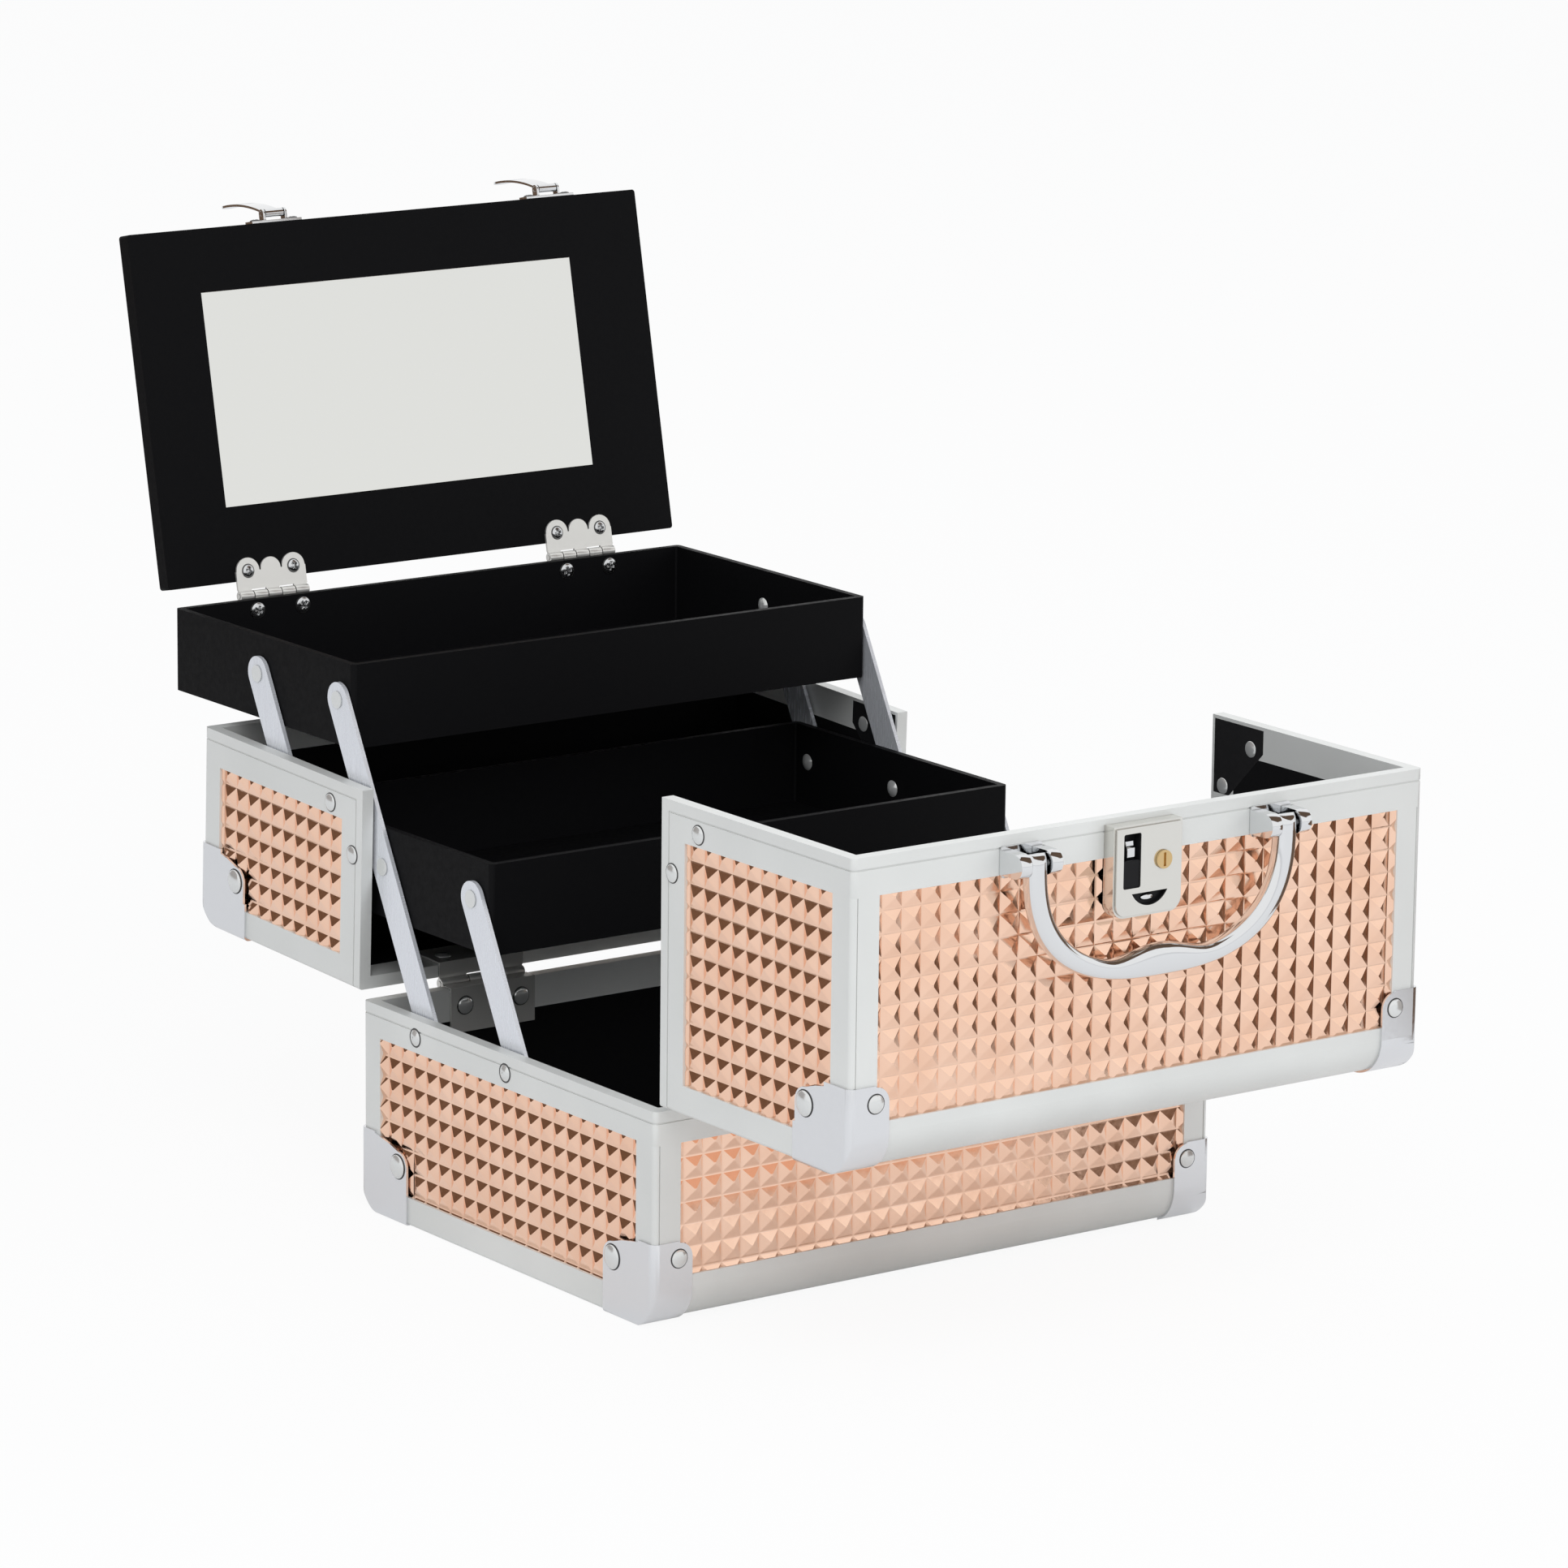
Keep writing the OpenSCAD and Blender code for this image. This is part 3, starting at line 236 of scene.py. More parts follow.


# Painted shade darkens the gaps of every plated material here except guard_steel
SLOT_MATERIALS = {
    "lining": matt_black("lining", (0.006, 0.006, 0.0065), 0.7, 1500, 0.00006),
    "base_cover": matt_black("base_cover", (0.012, 0.012, 0.012), 0.6, 1300, 0.00008),
    "stud_sheet": stud_foil(),
    "aluminium": satin_aluminium(),
    "guard_steel": plated("guard_steel", (0.77, 0.78, 0.80), 0.2, shade_reach=0, strength=0.05),
    "rivet_steel": plated("rivet_steel", (0.72, 0.73, 0.72), 0.18, 0.6),
    "hinge_steel": plated("hinge_steel", (0.68, 0.67, 0.64), 0.2, 0.5),
    "gusset": matt_black("gusset_paint", (0.010, 0.010, 0.011), 0.42, 1800, 0.00004, 0.25),
    "chrome": plated("chrome", (0.76, 0.77, 0.78), 0.08),
    "slider_black": matt_black("slider_black", (0.008, 0.008, 0.009), 0.35, 2000, 0.00003, 0.15),
    "key_brass": brass(),
    "tray_black": matt_black("tray_black", (0.0045, 0.0045, 0.005), 0.5, 1400, 0.00005),
    "arm_steel": arm_strip(),
    "screw_steel": plated("screw_steel", (0.66, 0.67, 0.68), 0.2),
    "screw_dark": plated("screw_dark", (0.10, 0.10, 0.10), 0.3),
    "board_black": matt_black("board_black", (0.004, 0.004, 0.0045), 0.55, 1600, 0.00005),
    "mirror_glass": silvered_glass(),
}
# The lock's plate is warmer than the other plated pieces, with painted reddish-brown shade where it
# meets the studs
LOCK_NICKEL = plated("lock_nickel", (0.72, 0.71, 0.67), 0.14, 0.9, shade_reach=0.006,
                     dark=(0.05, 0.022, 0.012))


def dress_cad_nodes():
    """Gives each CAD node the material of its slot."""
    for row in frame["record"]["subparts"]:
        node = nodes[row["node"]]
        node.data.materials.clear()
        node.data.materials.append(SLOT_MATERIALS[row["material_slot"]])
    nodes["lock_body"].data.materials[0] = LOCK_NICKEL


# Edge rounding of the CAD nodes that show sharp edges, in millimetres
EDGE_ROUNDS = {
    "lower_tray": 0.5, "upper_tray": 0.5, "mirror_board": 0.4, "mirror_glass": 0.3,
    "lock_body": 0.35, "lock_slider": 0.3, "handle_brackets": 0.5,
    "base_corner_guards": 0.2, "front_lid_corner_guards": 0.2, "back_lid_corner_guards": 0.2,
    "base_top_frame": 0.25, "front_lid_rim_frame": 0.25, "back_lid_rim_frame": 0.25,
    "clasp_plates": 0.15, "mirror_board_leaves": 0.15, "mirror_tray_leaves": 0.15,
    "base_hinge_leaves": 0.15, "front_lid_hinge_leaves": 0.15, "back_lid_hinge_leaves": 0.15,
}
ROUND_SEGMENTS = 3
ROUND_ANGLE = 35
WELD_REACH = 1e-6


def round_edges():
    """Rounds the CAD nodes' sharp edges by modifiers, which leave their vertices alone."""
    for name, width in EDGE_ROUNDS.items():
        weld = nodes[name].modifiers.new("weld", "WELD")
        weld.merge_threshold = WELD_REACH
        bevel = nodes[name].modifiers.new("round", "BEVEL")
        bevel.width = width * MM
        bevel.segments = ROUND_SEGMENTS
        bevel.limit_method = "ANGLE"
        bevel.angle_limit = math.radians(ROUND_ANGLE)
        bevel.harden_normals = True


# ---------------------------------------------------------------- pressed studs

# The case as in the part's source: outer sizes, the seam, and each half lid's share of the depth
CASE_W = 200.0
CASE_D = 150.0
SEAM = 0.6
BASE_H = 63.5
LID_H = 88.4
FRONT_SHARE = 88.5
BACK_SHARE = CASE_D - FRONT_SHARE - SEAM
# Widths of the aluminium strips: at the rims, at the corners, along the feet of sides and ends
LID_RIM = 11.0
BASE_RIM = 10.0
CORNER = 9.0
FOOT_SIDE = 8.5
FOOT_END = 14.5
# Distance of the hinge axes from the case, and the lids' opening in degrees
PIVOT_OUT = 2.0
FRONT_OPEN = 90.0
BACK_OPEN = 88.0
# Pitch and height of the pyramid studs
STUD_PITCH = 6.6
STUD_HEIGHT = 1.16
# Depth of the sheet's grooves under the strips' surface
SHEET_DEPTH = 1.1
# Share of half a stud that is cut away at the edge v = 0
STUD_CUT = 0.6
# Distance below which neighbouring studs' feet are welded
STUD_WELD = 0.001
# A stud's rings from its foot to its tip: share of the half pitch, share of the height
STUD_RINGS = ((1.0, 0.0), (0.90, 0.04), (0.10, 0.93), (0.0, 0.97))


def lid_place(sign, opening):
    """Matrix from a lid's own frame (Y from its hinge wall, Z from the seam) to the open case."""
    pivot = Vector((0, -CASE_D / 2 - PIVOT_OUT, BASE_H + SEAM / 2))
    shift = Matrix.Translation((0, PIVOT_OUT, SEAM / 2))
    turned = Matrix.Translation(pivot) @ Matrix.Rotation(math.radians(opening), 4, "X") @ shift
    return turned if sign < 0 else Matrix.Diagonal((1, -1, 1, 1)) @ turned


def stud_mesh(bm, corner, u, v, length, width, place):
    """Adds a studded panel from its corner along the unit vectors u and v, cut at its edges."""
    panel = bmesh.new()
    normal = u.cross(v)
    half = STUD_PITCH / 2
    columns = math.ceil(length / STUD_PITCH) + 1
    rows = math.ceil(width / STUD_PITCH) + 1
    # the pattern is centred along u and starts with a cut row at v = 0
    start_u = (length - columns * STUD_PITCH) / 2
    start_v = -half * STUD_CUT
    for i in range(columns):
        for j in range(rows):
            at_u = start_u + (i + 0.5) * STUD_PITCH
            at_v = start_v + (j + 0.5) * STUD_PITCH
            add_stud(panel, corner + u * at_u + v * at_v, u * half, v * half, normal)
    bmesh.ops.remove_doubles(panel, verts=panel.verts, dist=STUD_WELD)
    for point, outwards in ((corner, -u), (corner, -v), (corner + u * length, u),
                            (corner + v * width, v)):
        bmesh.ops.bisect_plane(panel, geom=panel.verts[:] + panel.edges[:] + panel.faces[:],
                               plane_co=point, plane_no=outwards, clear_outer=True)
    bmesh.ops.transform(panel, matrix=Matrix.Scale(MM, 4) @ place, verts=panel.verts)
    part = bpy.data.meshes.new("panel")
    panel.to_mesh(part)
    panel.free()
    bm.from_mesh(part)
    bpy.data.meshes.remove(part)


def join_rows(bm, rows):
    """Adds the faces between each ring of vertices and the next."""
    for a, b in zip(rows, rows[1:]):
        for k in range(len(a)):
            after = (k + 1) % len(a)
            bm.faces.new((a[k], a[after], b[after], b[k]))


def add_stud(bm, centre, half_u, half_v, normal):
    rings = []
    for share, rise in STUD_RINGS[:-1]:
        lift = centre + normal * (rise * STUD_HEIGHT)
        rings.append([bm.verts.new(lift + half_u * (a * share) + half_v * (b * share))
                      for a, b in ((-1, -1), (1, -1), (1, 1), (-1, 1))])
    tip = bm.verts.new(centre + normal * (STUD_RINGS[-1][1] * STUD_HEIGHT))
    join_rows(bm, rings)
    for k in range(4):
        bm.faces.new((rings[-1][k], rings[-1][(k + 1) % 4], tip))


def finish_piece(bm, name, body, slot, smooth=None):
    """Turns a bmesh in metres into a piece that rides on a body with its slot's material."""
    mesh = bpy.data.meshes.new(name)
    bmesh.ops.recalc_face_normals(bm, faces=bm.faces)
    bm.to_mesh(mesh)
    bm.free()
    piece = bpy.data.objects.new(name, mesh)
    bpy.context.scene.collection.objects.link(piece)
    mesh.materials.append(SLOT_MATERIALS[slot])
    if smooth is not None:
        mesh.shade_smooth()
        mesh.set_sharp_from_angle(angle=math.radians(smooth))
    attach(piece, body)
    return piece


def base_studs():
    bm = bmesh.new()
    here = Matrix.Identity(4)
    x = CASE_W / 2 - SHEET_DEPTH
    y = CASE_D / 2 - SHEET_DEPTH
    long_side = CASE_W - 2 * CORNER
    short_side = CASE_D - 2 * CORNER
    down, top = Vector((0, 0, -1)), BASE_H - BASE_RIM
    for s in (-1, 1):
        stud_mesh(bm, Vector((s * x, s * short_side / 2, top)), Vector((0, -s, 0)), down,
                  short_side, top - FOOT_SIDE, here)
        stud_mesh(bm, Vector((-s * long_side / 2, s * y, top)), Vector((s, 0, 0)), down,
                  long_side, top - FOOT_END, here)
    piece = finish_piece(bm, "base_studs", "root", "stud_sheet")
    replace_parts(piece, "base_stud_sheets")


def lid_studs(name, body, share, place):
    """Studs of a lid, in its own frame: Y from the hinge wall to the rim, Z from the seam up."""
    bm = bmesh.new()
    x = CASE_W / 2 - SHEET_DEPTH
    top = LID_H - SHEET_DEPTH
    long_side = CASE_W - 2 * CORNER
    height = LID_H - CORNER - LID_RIM
    towards_hinge = Vector((0, -1, 0))
    # both side walls, starting at the free rim
    stud_mesh(bm, Vector((x, share - LID_RIM, LID_RIM)), Vector((0, 0, 1)), towards_hinge,
              height, share - LID_RIM - FOOT_SIDE, place)
    stud_mesh(bm, Vector((-x, share - LID_RIM, LID_H - CORNER)), Vector((0, 0, -1)), towards_hinge,
              height, share - LID_RIM - FOOT_SIDE, place)
    # the top wall
    stud_mesh(bm, Vector((long_side / 2, share - LID_RIM, top)), Vector((-1, 0, 0)), towards_hinge,
              long_side, share - LID_RIM - FOOT_END, place)
    # the hinge wall
    stud_mesh(bm, Vector((long_side / 2, SHEET_DEPTH, LID_H - FOOT_END)), Vector((-1, 0, 0)),
              Vector((0, 0, -1)), long_side, LID_H - FOOT_END - LID_RIM, place)
    piece = finish_piece(bm, name + "_studs", body, "stud_sheet")
    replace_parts(piece, name + "_stud_sheets")


# ---------------------------------------------------------------- handle

# The pivots: half their distance, place in the top wall, height over it
HANDLE_X = 43.8
HANDLE_AT = 81.2
HANDLE_OUT = 6.8
# The strap: reach from its pivots, depth of the grip, thickness, half width at the eyes
HANDLE_DROP = 37.0
GRIP_DEPTH = 5.2
HANDLE_T = 5.6
EYE_HALF = 3.2
# Squareness of the strap's curve, and the hump in the grip: height and half length
CURVE = 2.6
HUMP = 4.0
DIP_X = 20.0
# Squareness of the strap's section, points round it, and sections along it
SECTION = 2.7
SECTION_POINTS = 36
STRAP_STEPS = 120
# Steps round each of the strap's ends, and the angle in degrees that they cover
CAP_STEPS = 7
CAP_ANGLE = 88


def superellipse(a, b, t, power):
    """Point at the angle t on a rounded box with the half sizes a and b."""
    c, d = math.cos(t), math.sin(t)
    return a * math.copysign(abs(c) ** (2 / power), c), b * math.copysign(abs(d) ** (2 / power), d)


def handle_sections():
    """Middle, direction across, half width and half thickness of each of the strap's sections."""
    half = HANDLE_T / 2
    cap = [(half * math.sin(t), half * math.cos(t))
           for t in (math.radians(CAP_ANGLE) * (1 - k / CAP_STEPS) for k in range(CAP_STEPS))]
    for y, thick in cap:
        yield Vector((HANDLE_X, y, 0)), Vector((1, 0, 0)), EYE_HALF, thick
    for k in range(STRAP_STEPS + 1):
        t = math.pi * k / STRAP_STEPS
        outer = Vector((*superellipse(HANDLE_X + EYE_HALF, -HANDLE_DROP, t, CURVE), 0))
        inner = Vector((*superellipse(HANDLE_X - EYE_HALF, GRIP_DEPTH - HANDLE_DROP, t, CURVE), 0))
        if abs(inner.x) < DIP_X:
            inner.y += HUMP * (1 + math.cos(math.pi * inner.x / DIP_X)) / 2
        across = outer - inner
        yield (outer + inner) / 2, across.normalized(), across.length / 2, half
    for y, thick in reversed(cap):
        yield Vector((-HANDLE_X, y, 0)), Vector((-1, 0, 0)), EYE_HALF, thick


def bridge(bm, rings):
    """Closes a row of rings of points into one skin with a cap at each end."""
    rows = [[bm.verts.new(p) for p in ring] for ring in rings]
    join_rows(bm, rows)
    bm.faces.new(rows[0][::-1])
    bm.faces.new(rows[-1])


def handle_piece():
    bm = bmesh.new()
    rings = []
    for middle, across, wide, thick in handle_sections():
        ring = []
        for k in range(SECTION_POINTS):
            u, v = superellipse(wide, thick, 2 * math.pi * k / SECTION_POINTS, SECTION)
            ring.append(middle + across * u + Vector((0, 0, v)))
        rings.append(ring)
    bridge(bm, rings)
    place = lid_place(-1, FRONT_OPEN) @ Matrix.Translation((0, HANDLE_AT, LID_H + HANDLE_OUT))
    bmesh.ops.transform(bm, matrix=Matrix.Scale(MM, 4) @ place, verts=bm.verts)
    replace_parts(finish_piece(bm, "handle_strap", "handle", "chrome", smooth=40), "handle")


# ---------------------------------------------------------------- lock

# The lock's offset from the case's middle, its thickness and length, and where it ends
LOCK_OFF = 2.7
LOCK_T = 5.0
LOCK_L = 26.0
LOCK_TO_RIM = 1.6
LOCK_Y0 = FRONT_SHARE - LOCK_TO_RIM - LOCK_L
# Places, sizes and depths of the slot for the slider and of the crescent below it
SLOT_X = -5.9
SLOT_UP = 8.3
SLOT_Y = LOCK_Y0 + SLOT_UP
SLOT_W = 6.0
SLOT_L = 15.4
SLOT_DEPTH = 3.0
SLOT_R = 0.6
SLIDER_L = 7.6
SLIDER_GAP = 0.2
CRESCENT_X = 0.4
CRESCENT_UP = 6.7
CRESCENT_Y = LOCK_Y0 + CRESCENT_UP
CRESCENT_R = 7.0
CRESCENT_H = 3.8
CRESCENT_DEPTH = 1.6
# Clearances of the black linings in the lock's openings, their thickness, and how far their
# rims stay below the plate
LINER_GAP = 0.03
LINER_T = 0.12
SLOT_LINER_DROP = 0.35
CRESCENT_LINER_DROP = 0.3
# The bolt in the crescent: half sizes, distance below the flat top, height over the floor
BOLT_HALF = (2.3, 1.0, 0.8)
BOLT_DROP = 1.7
BOLT_RISE = 0.25
# The tongue's sections along it: share of the length, height, half width
TONGUE_SECTIONS = ((0, 0.9, 1.3), (0.05, 1.45, 1.45), (0.2, 1.75, 1.5), (0.62, 1.75, 1.5),
                   (0.72, 1.2, 1.45), (0.95, 1.1, 1.4), (1, 0.7, 1.2))
# Width of the chamfer along its upper edges, and the share of the height where it begins
TONGUE_CHAMFER = 0.25
TONGUE_FLANK = 0.8
# Shift of the tongue towards the key, clearance under it, and the way that the slider moves
TONGUE_SHIFT = 0.3
TONGUE_GAP = 0.02
SLIDER_TRAVEL = 2


def slot_outline(inset, steps=6):
    """The slot's rounded outline, drawn in by an inset, in the top wall's XY plane."""
    r = SLOT_R - inset
    half, y0, y1 = SLOT_W / 2 - inset, SLOT_Y + inset, SLOT_Y + SLOT_L - inset
    points = []
    for cx, cy, start in ((half - r, y1 - r, 0), (r - half, y1 - r, 90), (r - half, y0 + r, 180),
                          (half - r, y0 + r, 270)):
        for k in range(steps + 1):
            a = math.radians(start + 90 * k / steps)
            points.append((SLOT_X + cx + r * math.cos(a), cy + r * math.sin(a)))
    return points


def crescent_outline(inset, steps=24):
    """The crescent's outline: a flat top and a round bottom."""
    r = CRESCENT_R - inset
    middle = CRESCENT_Y + CRESCENT_R - CRESCENT_H
    top = CRESCENT_Y - inset
    reach = math.acos((middle - top) / r)
    return [(CRESCENT_X + r * math.sin(a), middle - r * math.cos(a))
            for a in (reach * (1 - 2 * k / steps) for k in range(steps + 1))]


def add_liner(bm, outline, floor, rim):
    """Adds an open cup: outer wall, rim, inner wall and floor, from an outline at two insets."""
    inner = LINER_GAP + LINER_T
    bridge(bm, [[(x, y, height) for x, y in outline(inset)]
                for inset, height in ((LINER_GAP, floor), (LINER_GAP, rim), (inner, rim),
                                      (inner, floor + LINER_T))])


def on_lock(bm, name, body, slot, smooth=None):
    """Places a piece that is drawn on the front lid's top wall, with X from the lock's middle."""
    place = lid_place(-1, FRONT_OPEN) @ Matrix.Translation((-LOCK_OFF, 0, LID_H))
    bmesh.ops.transform(bm, matrix=Matrix.Scale(MM, 4) @ place, verts=bm.verts)
    return finish_piece(bm, name, body, slot, smooth)


def lock_details():
    bm = bmesh.new()
    add_liner(bm, slot_outline, LOCK_T - SLOT_DEPTH + LINER_GAP, LOCK_T - SLOT_LINER_DROP)
    add_liner(bm, crescent_outline, LOCK_T - CRESCENT_DEPTH + LINER_GAP,
              LOCK_T - CRESCENT_LINER_DROP)
    on_lock(bm, "lock_linings", "front_lid", "slider_black")
    # the bolt that shows as a bright oval in the crescent
    bm = bmesh.new()
    bmesh.ops.create_uvsphere(bm, u_segments=32, v_segments=16, radius=1)
    middle = Matrix.Translation(
        (CRESCENT_X, CRESCENT_Y - BOLT_DROP, LOCK_T - CRESCENT_DEPTH + BOLT_RISE))
    bmesh.ops.transform(bm, matrix=middle @ Matrix.Diagonal((*BOLT_HALF, 1)), verts=bm.verts)
    on_lock(bm, "lock_bolt", "front_lid", "chrome", smooth=60)
    # the tongue: a slim bar with a folded end, on the slider's way
    bm = bmesh.new()
    y0 = SLOT_Y + SLIDER_GAP + SLIDER_L
    length = SLOT_L - SLIDER_L - 2 * SLIDER_GAP - SLIDER_TRAVEL
    z0 = LOCK_T - SLOT_DEPTH + LINER_GAP + LINER_T + TONGUE_GAP
    rings = []
    for u, rise, half in TONGUE_SECTIONS:
        y, flank, top = y0 + u * length, z0 + rise * TONGUE_FLANK, z0 + rise
        x0, x1 = SLOT_X - half + TONGUE_SHIFT, SLOT_X + half + TONGUE_SHIFT
        rings.append([(x0, y, z0), (x1, y, z0), (x1, y, flank), (x1 - TONGUE_CHAMFER, y, top),
                      (x0 + TONGUE_CHAMFER, y, top), (x0, y, flank)])
    bridge(bm, rings)
    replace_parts(on_lock(bm, "lock_tongue_bar", "lock_slider", "chrome", smooth=35), "lock_tongue")


# ---------------------------------------------------------------- rivet and screw heads

# The dome falls by this share of the height towards the rim, with this power of the radius
DOME_FALL = 0.62
DOME_POWER = 2.2
# Rings of a head from its middle to its foot: share of the radius, share of the height
HEAD_RINGS = [(k / 16, 1 - DOME_FALL * (k / 16) ** DOME_POWER) for k in range(1, 15)] + [
    (0.94, 0.42), (0.985, 0.33), (1.0, 0.22), (0.985, 0.1), (0.95, 0.0)]
HEAD_POINTS = 48
# A cross recess: how far its bars reach and how wide they are, as shares of the head's radius,
# each with the width of its slope
CROSS_REACH = 0.62
CROSS_REACH_SLOPE = 0.1
CROSS_HALF = 0.19
CROSS_HALF_SLOPE = 0.08
# Lowest height of a head's surface, as a share of its height
HEAD_FLOOR = 0.02
# A head's smooth shading goes up to this angle in degrees
HEAD_SMOOTH = 45
# Turn of the first screw's cross and the further turn of each next one, in radians
CROSS_TURN = 0.4
CROSS_TURN_STEP = 1.1


def domed_heads(node):
    """Foot, direction, radius and height of each domed head in a CAD node.

    Faces are kept in the mesh's own order, so that every run gives the same sums.
    """
    bm = bmesh.new()
    bm.from_mesh(nodes[node].data)
    bmesh.ops.remove_doubles(bm, verts=bm.verts, dist=1e-7)
    left = dict.fromkeys(bm.faces)
    heads = []
    while left:
        island, edge = [], [left.popitem()[0]]
        while edge:
            face = edge.pop()
            island.append(face)
            for side in face.edges:
                for other in side.link_faces:
                    if other in left:
                        del left[other]
                        edge.append(other)
        # the flat foot is the largest area with one direction
        areas = {}
        for face in island:
            key = tuple(round(c, 2) for c in face.normal)
            areas.setdefault(key, []).append(face)
        foot = max(areas.values(), key=lambda faces: sum(f.calc_area() for f in faces))
        total = sum(f.calc_area() for f in foot)
        centre = sum((f.calc_center_median() * f.calc_area() for f in foot), Vector()) / total
        out = -sum((f.normal * f.calc_area() for f in foot), Vector()).normalized()
        points = dict.fromkeys(v for f in island for v in f.verts)
        height = max((v.co - centre).dot(out) for v in points)
        radius = max((v.co - centre - out * (v.co - centre).dot(out)).length for v in points)
        heads.append((centre, out, radius, height))
    bm.free()
    return sorted(heads, key=lambda head: tuple(round(c, 6) for c in head[0]))


def recess(x, y):
    """Depth of a cross recess at a point, both as shares of the head's radius, from 0 to 1."""
    deepest = 0
    for a, b in ((x, y), (y, x)):
        along = min(1, max(0, (CROSS_REACH - abs(a)) / CROSS_REACH_SLOPE))
        across = min(1, max(0, (CROSS_HALF - abs(b)) / CROSS_HALF_SLOPE))
        deepest = max(deepest, along * across)
    return deepest


def add_head(bm, centre, out, radius, height, turn=0.0, cross=0.0):
    """Adds a pressed head with a rolled edge, and with a cross recess where it is a screw."""
    side = out.orthogonal().normalized()
    other = out.cross(side)

    def point(share, rise, k):
        angle = 2 * math.pi * k / HEAD_POINTS
        x, y = share * math.cos(angle), share * math.sin(angle)
        if cross:
            c, s = math.cos(turn), math.sin(turn)
            rise -= cross * recess(c * x + s * y, c * y - s * x)
        return centre + (side * x + other * y) * radius + out * (max(rise, HEAD_FLOOR) * height)

    middle = bm.verts.new(centre + out * (height * (1 - cross)))
    rows = [[bm.verts.new(point(share, rise, k)) for k in range(HEAD_POINTS)]
            for share, rise in HEAD_RINGS]
    for k in range(HEAD_POINTS):
        bm.faces.new((middle, rows[0][k], rows[0][(k + 1) % HEAD_POINTS]))
    join_rows(bm, rows)
    bm.faces.new(rows[-1])


def heads_piece(node, name, body, slot, cross=0.0):
    bm = bmesh.new()
    for i, (centre, out, radius, height) in enumerate(domed_heads(node)):
        add_head(bm, centre, out, radius, height, CROSS_TURN + CROSS_TURN_STEP * i, cross)
    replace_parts(finish_piece(bm, name, body, slot, smooth=HEAD_SMOOTH), node)


# Width and height of the dark ring of painted shade round a head, the share of the head's radius
# where it starts, and the share of its width that is flat on top
SHADE_RING_W = 0.32
SHADE_RING_H = 0.12
SHADE_RING_START = 0.9
SHADE_RING_FLAT = 0.8


def add_shade_ring(bm, centre, out, radius):
    """Adds the thin dark ring round a riveted head, painted shade for the gap at its foot."""
    side = out.orthogonal().normalized()
    other = out.cross(side)
    inner, outer = radius * SHADE_RING_START, radius + SHADE_RING_W * MM
    rows = []
    for r, h in ((inner, 0), (outer, 0), (radius + SHADE_RING_W * MM * SHADE_RING_FLAT, SHADE_RING_H * MM),
                 (inner, SHADE_RING_H * MM)):
        rows.append([bm.verts.new(centre + out * h + (side * math.cos(a) + other * math.sin(a)) * r)
                     for a in (2 * math.pi * k / HEAD_POINTS for k in range(HEAD_POINTS))])
    join_rows(bm, rows + rows[:1])


# A piece of thin dark rings, painted shade round the heads
def shade_rings_piece(name, body, heads):
    bm = bmesh.new()
    for centre, out, radius in heads:
        add_shade_ring(bm, centre, out, radius)
    finish_piece(bm, name, body, "screw_dark")


# Rivet heads inside the rim corners: radius, height and their places from the rim corner
GUSSET_RIVET_R = 2.4
GUSSET_RIVET_H = 0.4
GUSSET_RIVETS = ((20.6, 5.1), (7.4, 17.4))
WALL = 3.8


def gusset_heads(share, place):
    """The inner heads of the rivets that go through a lid's gussets."""
    turned = place.to_3x3()
    for s in (-1, 1):
        for back, up in GUSSET_RIVETS:
            centre = place @ Vector((s * (CASE_W / 2 - WALL), share - back, up)) * MM
            yield centre, (turned @ Vector((-s, 0, 0))).normalized(), GUSSET_RIVET_R * MM


def inner_heads(name, body, share, place):
    bm = bmesh.new()
    for centre, out, radius in gusset_heads(share, place):
        add_head(bm, centre, out, radius, GUSSET_RIVET_H * MM)
    finish_piece(bm, name + "_gusset_heads", body, "rivet_steel", smooth=HEAD_SMOOTH)


# The arms' pivots in the base: depth below the rim, places along Y, radius of the outer heads
PIVOT_DROP = 5.5
BASE_PIVOTS = (47.0, 0.0)
PIVOT_HEAD_R = 2.6


def all_shade_rings():
    """Dark rings of painted shade round the outer rivet heads and the mirror's screws."""
    pivots = [(Vector((s * CASE_W / 2, y, BASE_H - PIVOT_DROP)) * MM, Vector((s, 0, 0)),
               PIVOT_HEAD_R * MM) for s in (-1, 1) for y in BASE_PIVOTS]
    for name, body, node, others in (
            ("base_rivet_shade_rings", "root", "base_rivets", pivots),
            ("front_lid_rivet_shade_rings", "front_lid", "front_lid_rivets", []),
            ("back_lid_rivet_shade_rings", "back_lid", "back_lid_rivets", []),
            ("mirror_screw_shade_rings", "mirror", "mirror_board_screws", []),
            ("tray_screw_shade_rings", "upper_tray", "mirror_tray_screws", [])):
        shade_rings_piece(name, body, [head[:3] for head in domed_heads(node)] + others)


def all_heads():
    heads_piece("base_rivets", "base_rivet_heads", "root", "rivet_steel")
    heads_piece("front_lid_rivets", "front_lid_rivet_heads", "front_lid", "rivet_steel")
    heads_piece("back_lid_rivets", "back_lid_rivet_heads", "back_lid", "rivet_steel")
    heads_piece("mirror_tray_screws", "mirror_tray_screw_heads", "upper_tray", "screw_steel", 0.75)
    heads_piece("mirror_board_screws", "mirror_board_screw_heads", "mirror", "screw_steel", 0.75)
    heads_piece("clasp_screws", "clasp_screw_heads", "mirror", "screw_dark", 0.7)


# ---------------------------------------------------------------- floor and light

# Half the floor's side and how far it lies below z = 0, in metres
FLOOR_HALF = 20
FLOOR_DROP = 0.0002
FLOOR_TONE = 0.72
# Shares of plain white that the floor shows to the camera and to reflections
FLOOR_SEEN = 0.92
FLOOR_MIRRORED = 0.35


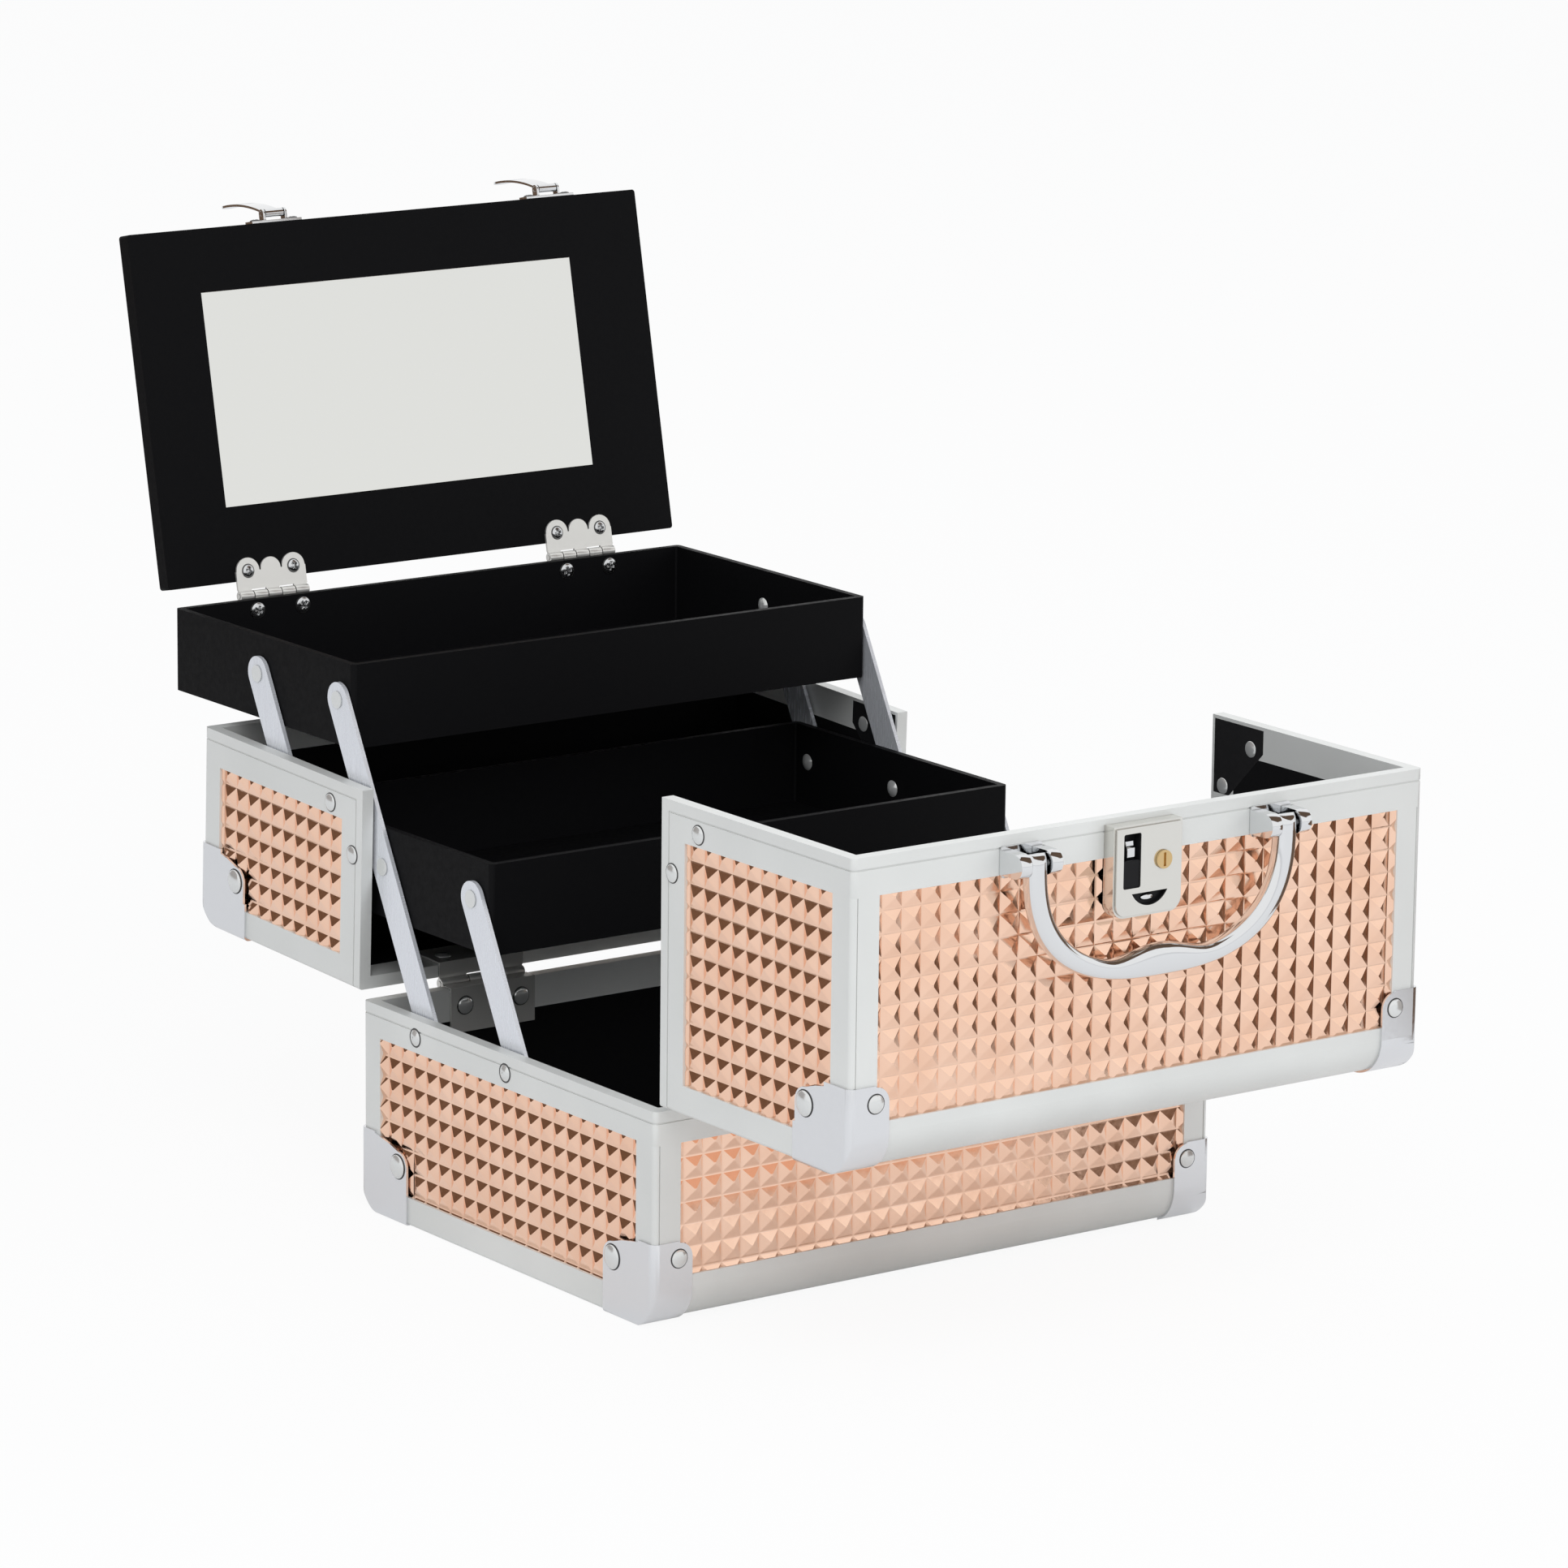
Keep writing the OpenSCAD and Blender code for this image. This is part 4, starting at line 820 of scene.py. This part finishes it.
def flat_square(name, half):
    """A square in the XY plane, linked to the scene."""
    bm = bmesh.new()
    bmesh.ops.create_grid(bm, x_segments=1, y_segments=1, size=half)
    mesh = bpy.data.meshes.new(name)
    bm.to_mesh(mesh)
    bm.free()
    square = bpy.data.objects.new(name, mesh)
    bpy.context.scene.collection.objects.link(square)
    return square


def make_floor():
    floor = flat_square("floor", FLOOR_HALF)
    floor.location.z = -FLOOR_DROP
    material = bpy.data.materials.new("floor")
    material.use_nodes = True
    tree = material.node_tree
    tree.nodes.clear()
    output = tree.nodes.new("ShaderNodeOutputMaterial")
    mix = tree.nodes.new("ShaderNodeMixShader")
    white = tree.nodes.new("ShaderNodeEmission")
    white.inputs["Strength"].default_value = 1
    matt = tree.nodes.new("ShaderNodeBsdfDiffuse")
    matt.inputs["Color"].default_value = (FLOOR_TONE, FLOOR_TONE, FLOOR_TONE, 1)
    tree.links.new(seen_directly(tree, FLOOR_SEEN, FLOOR_MIRRORED), mix.inputs["Fac"])
    tree.links.new(matt.outputs[0], mix.inputs[1])
    tree.links.new(white.outputs[0], mix.inputs[2])
    tree.links.new(mix.outputs[0], output.inputs["Surface"])
    floor.data.materials.append(material)


def seen_directly(tree, straight=1.0, mirrored=1.0):
    """A share for rays from the camera or through glass, another for gloss, and 0 for the rest."""
    path = tree.nodes.new("ShaderNodeLightPath")
    total = None
    for name, share in (("Is Camera Ray", straight), ("Is Transmission Ray", straight),
                        ("Is Glossy Ray", mirrored)):
        part = tree.nodes.new("ShaderNodeMath")
        part.operation = "MULTIPLY"
        part.inputs[1].default_value = share
        tree.links.new(path.outputs[name], part.inputs[0])
        if total is None:
            total = part.outputs[0]
            continue
        either = tree.nodes.new("ShaderNodeMath")
        either.operation = "MAXIMUM"
        tree.links.new(total, either.inputs[0])
        tree.links.new(part.outputs[0], either.inputs[1])
        total = either.outputs[0]
    return total


# The soft room light on the object, slightly cool
ROOM_COLOR = (0.94, 0.96, 1)
ROOM_STRENGTH = 0.86


def make_world():
    world = bpy.data.worlds.new("studio")
    bpy.context.scene.world = world
    world.use_nodes = True
    tree = world.node_tree
    tree.nodes.clear()
    output = tree.nodes.new("ShaderNodeOutputWorld")
    mix = tree.nodes.new("ShaderNodeMixShader")
    room = tree.nodes.new("ShaderNodeBackground")
    room.inputs["Color"].default_value = (*ROOM_COLOR, 1)
    room.inputs["Strength"].default_value = ROOM_STRENGTH
    backdrop = tree.nodes.new("ShaderNodeBackground")
    backdrop.inputs["Color"].default_value = (1, 1, 1, 1)
    backdrop.inputs["Strength"].default_value = 1
    tree.links.new(seen_directly(tree), mix.inputs["Fac"])
    tree.links.new(room.outputs[0], mix.inputs[1])
    tree.links.new(backdrop.outputs[0], mix.inputs[2])
    tree.links.new(mix.outputs[0], output.inputs["Surface"])


def area_light(name, place, target, size, power):
    data = bpy.data.lights.new(name, "AREA")
    data.shape = "RECTANGLE"
    data.size, data.size_y = size
    data.energy = power
    light = bpy.data.objects.new(name, data)
    light.location = place
    light.rotation_mode = "QUATERNION"
    light.rotation_quaternion = (Vector(place) - Vector(target)).to_track_quat("Z", "Y")
    light.visible_glossy = False
    bpy.context.scene.collection.objects.link(light)


# Painted reflection: the tone of the cards that only reflections see, which show as dark brown
# facets on the studs
CARD_COLOR = (0.16, 0.105, 0.072)


def dark_card(name, centre, facing, size):
    """A dark brown card that only reflections see: a painted reflection that darkens the studs'
    facets.
    """
    card = flat_square(name, 0.5)
    card.location = centre
    card.rotation_mode = "QUATERNION"
    card.rotation_quaternion = Vector(facing).to_track_quat("Z", "Y")
    card.scale = (*size, 1)
    material = bpy.data.materials.new(name)
    material.use_nodes = True
    shader = material.node_tree.nodes["Principled BSDF"]
    shader.inputs["Base Color"].default_value = (*CARD_COLOR, 1)
    shader.inputs["Roughness"].default_value = 0.9
    shader.inputs["Specular IOR Level"].default_value = 0
    card.data.materials.append(material)
    card.visible_camera = False
    card.visible_diffuse = False
    card.visible_shadow = False
    card.visible_transmission = False


def make_lights():
    middle = (0, 0.03, 0.12)
    area_light("key", (-0.9, -1.3, 1.5), middle, (1.2, 1.2), 16)
    area_light("fill", (1.5, -0.8, 0.9), middle, (1.0, 1.0), 8)
    # Painted reflections: dark cards, seen only in reflections, that darken facets of the studs
    dark_card("card_right", (0.29, -0.24, 0.07), (-1, 0, 0), (0.28, 0.2))
    dark_card("card_left", (-0.56, 0.62, 0.25), (0.6, -0.8, -0.15), (0.8, 0.4))
    dark_card("card_above", (0.43, -0.33, 0.66), (-0.6, 0.22, -0.75), (0.55, 0.55))


make_camera()
dress_cad_nodes()
round_edges()
base_studs()
for lid, lid_share, lid_matrix in (("front_lid", FRONT_SHARE, lid_place(-1, FRONT_OPEN)),
                                   ("back_lid", BACK_SHARE, lid_place(1, BACK_OPEN))):
    lid_studs(lid, lid, lid_share, lid_matrix)
    inner_heads(lid, lid, lid_share, lid_matrix)
handle_piece()
lock_details()
all_heads()
all_shade_rings()
make_floor()
make_world()
make_lights()
bpy.context.scene.view_settings.view_transform = "Standard"
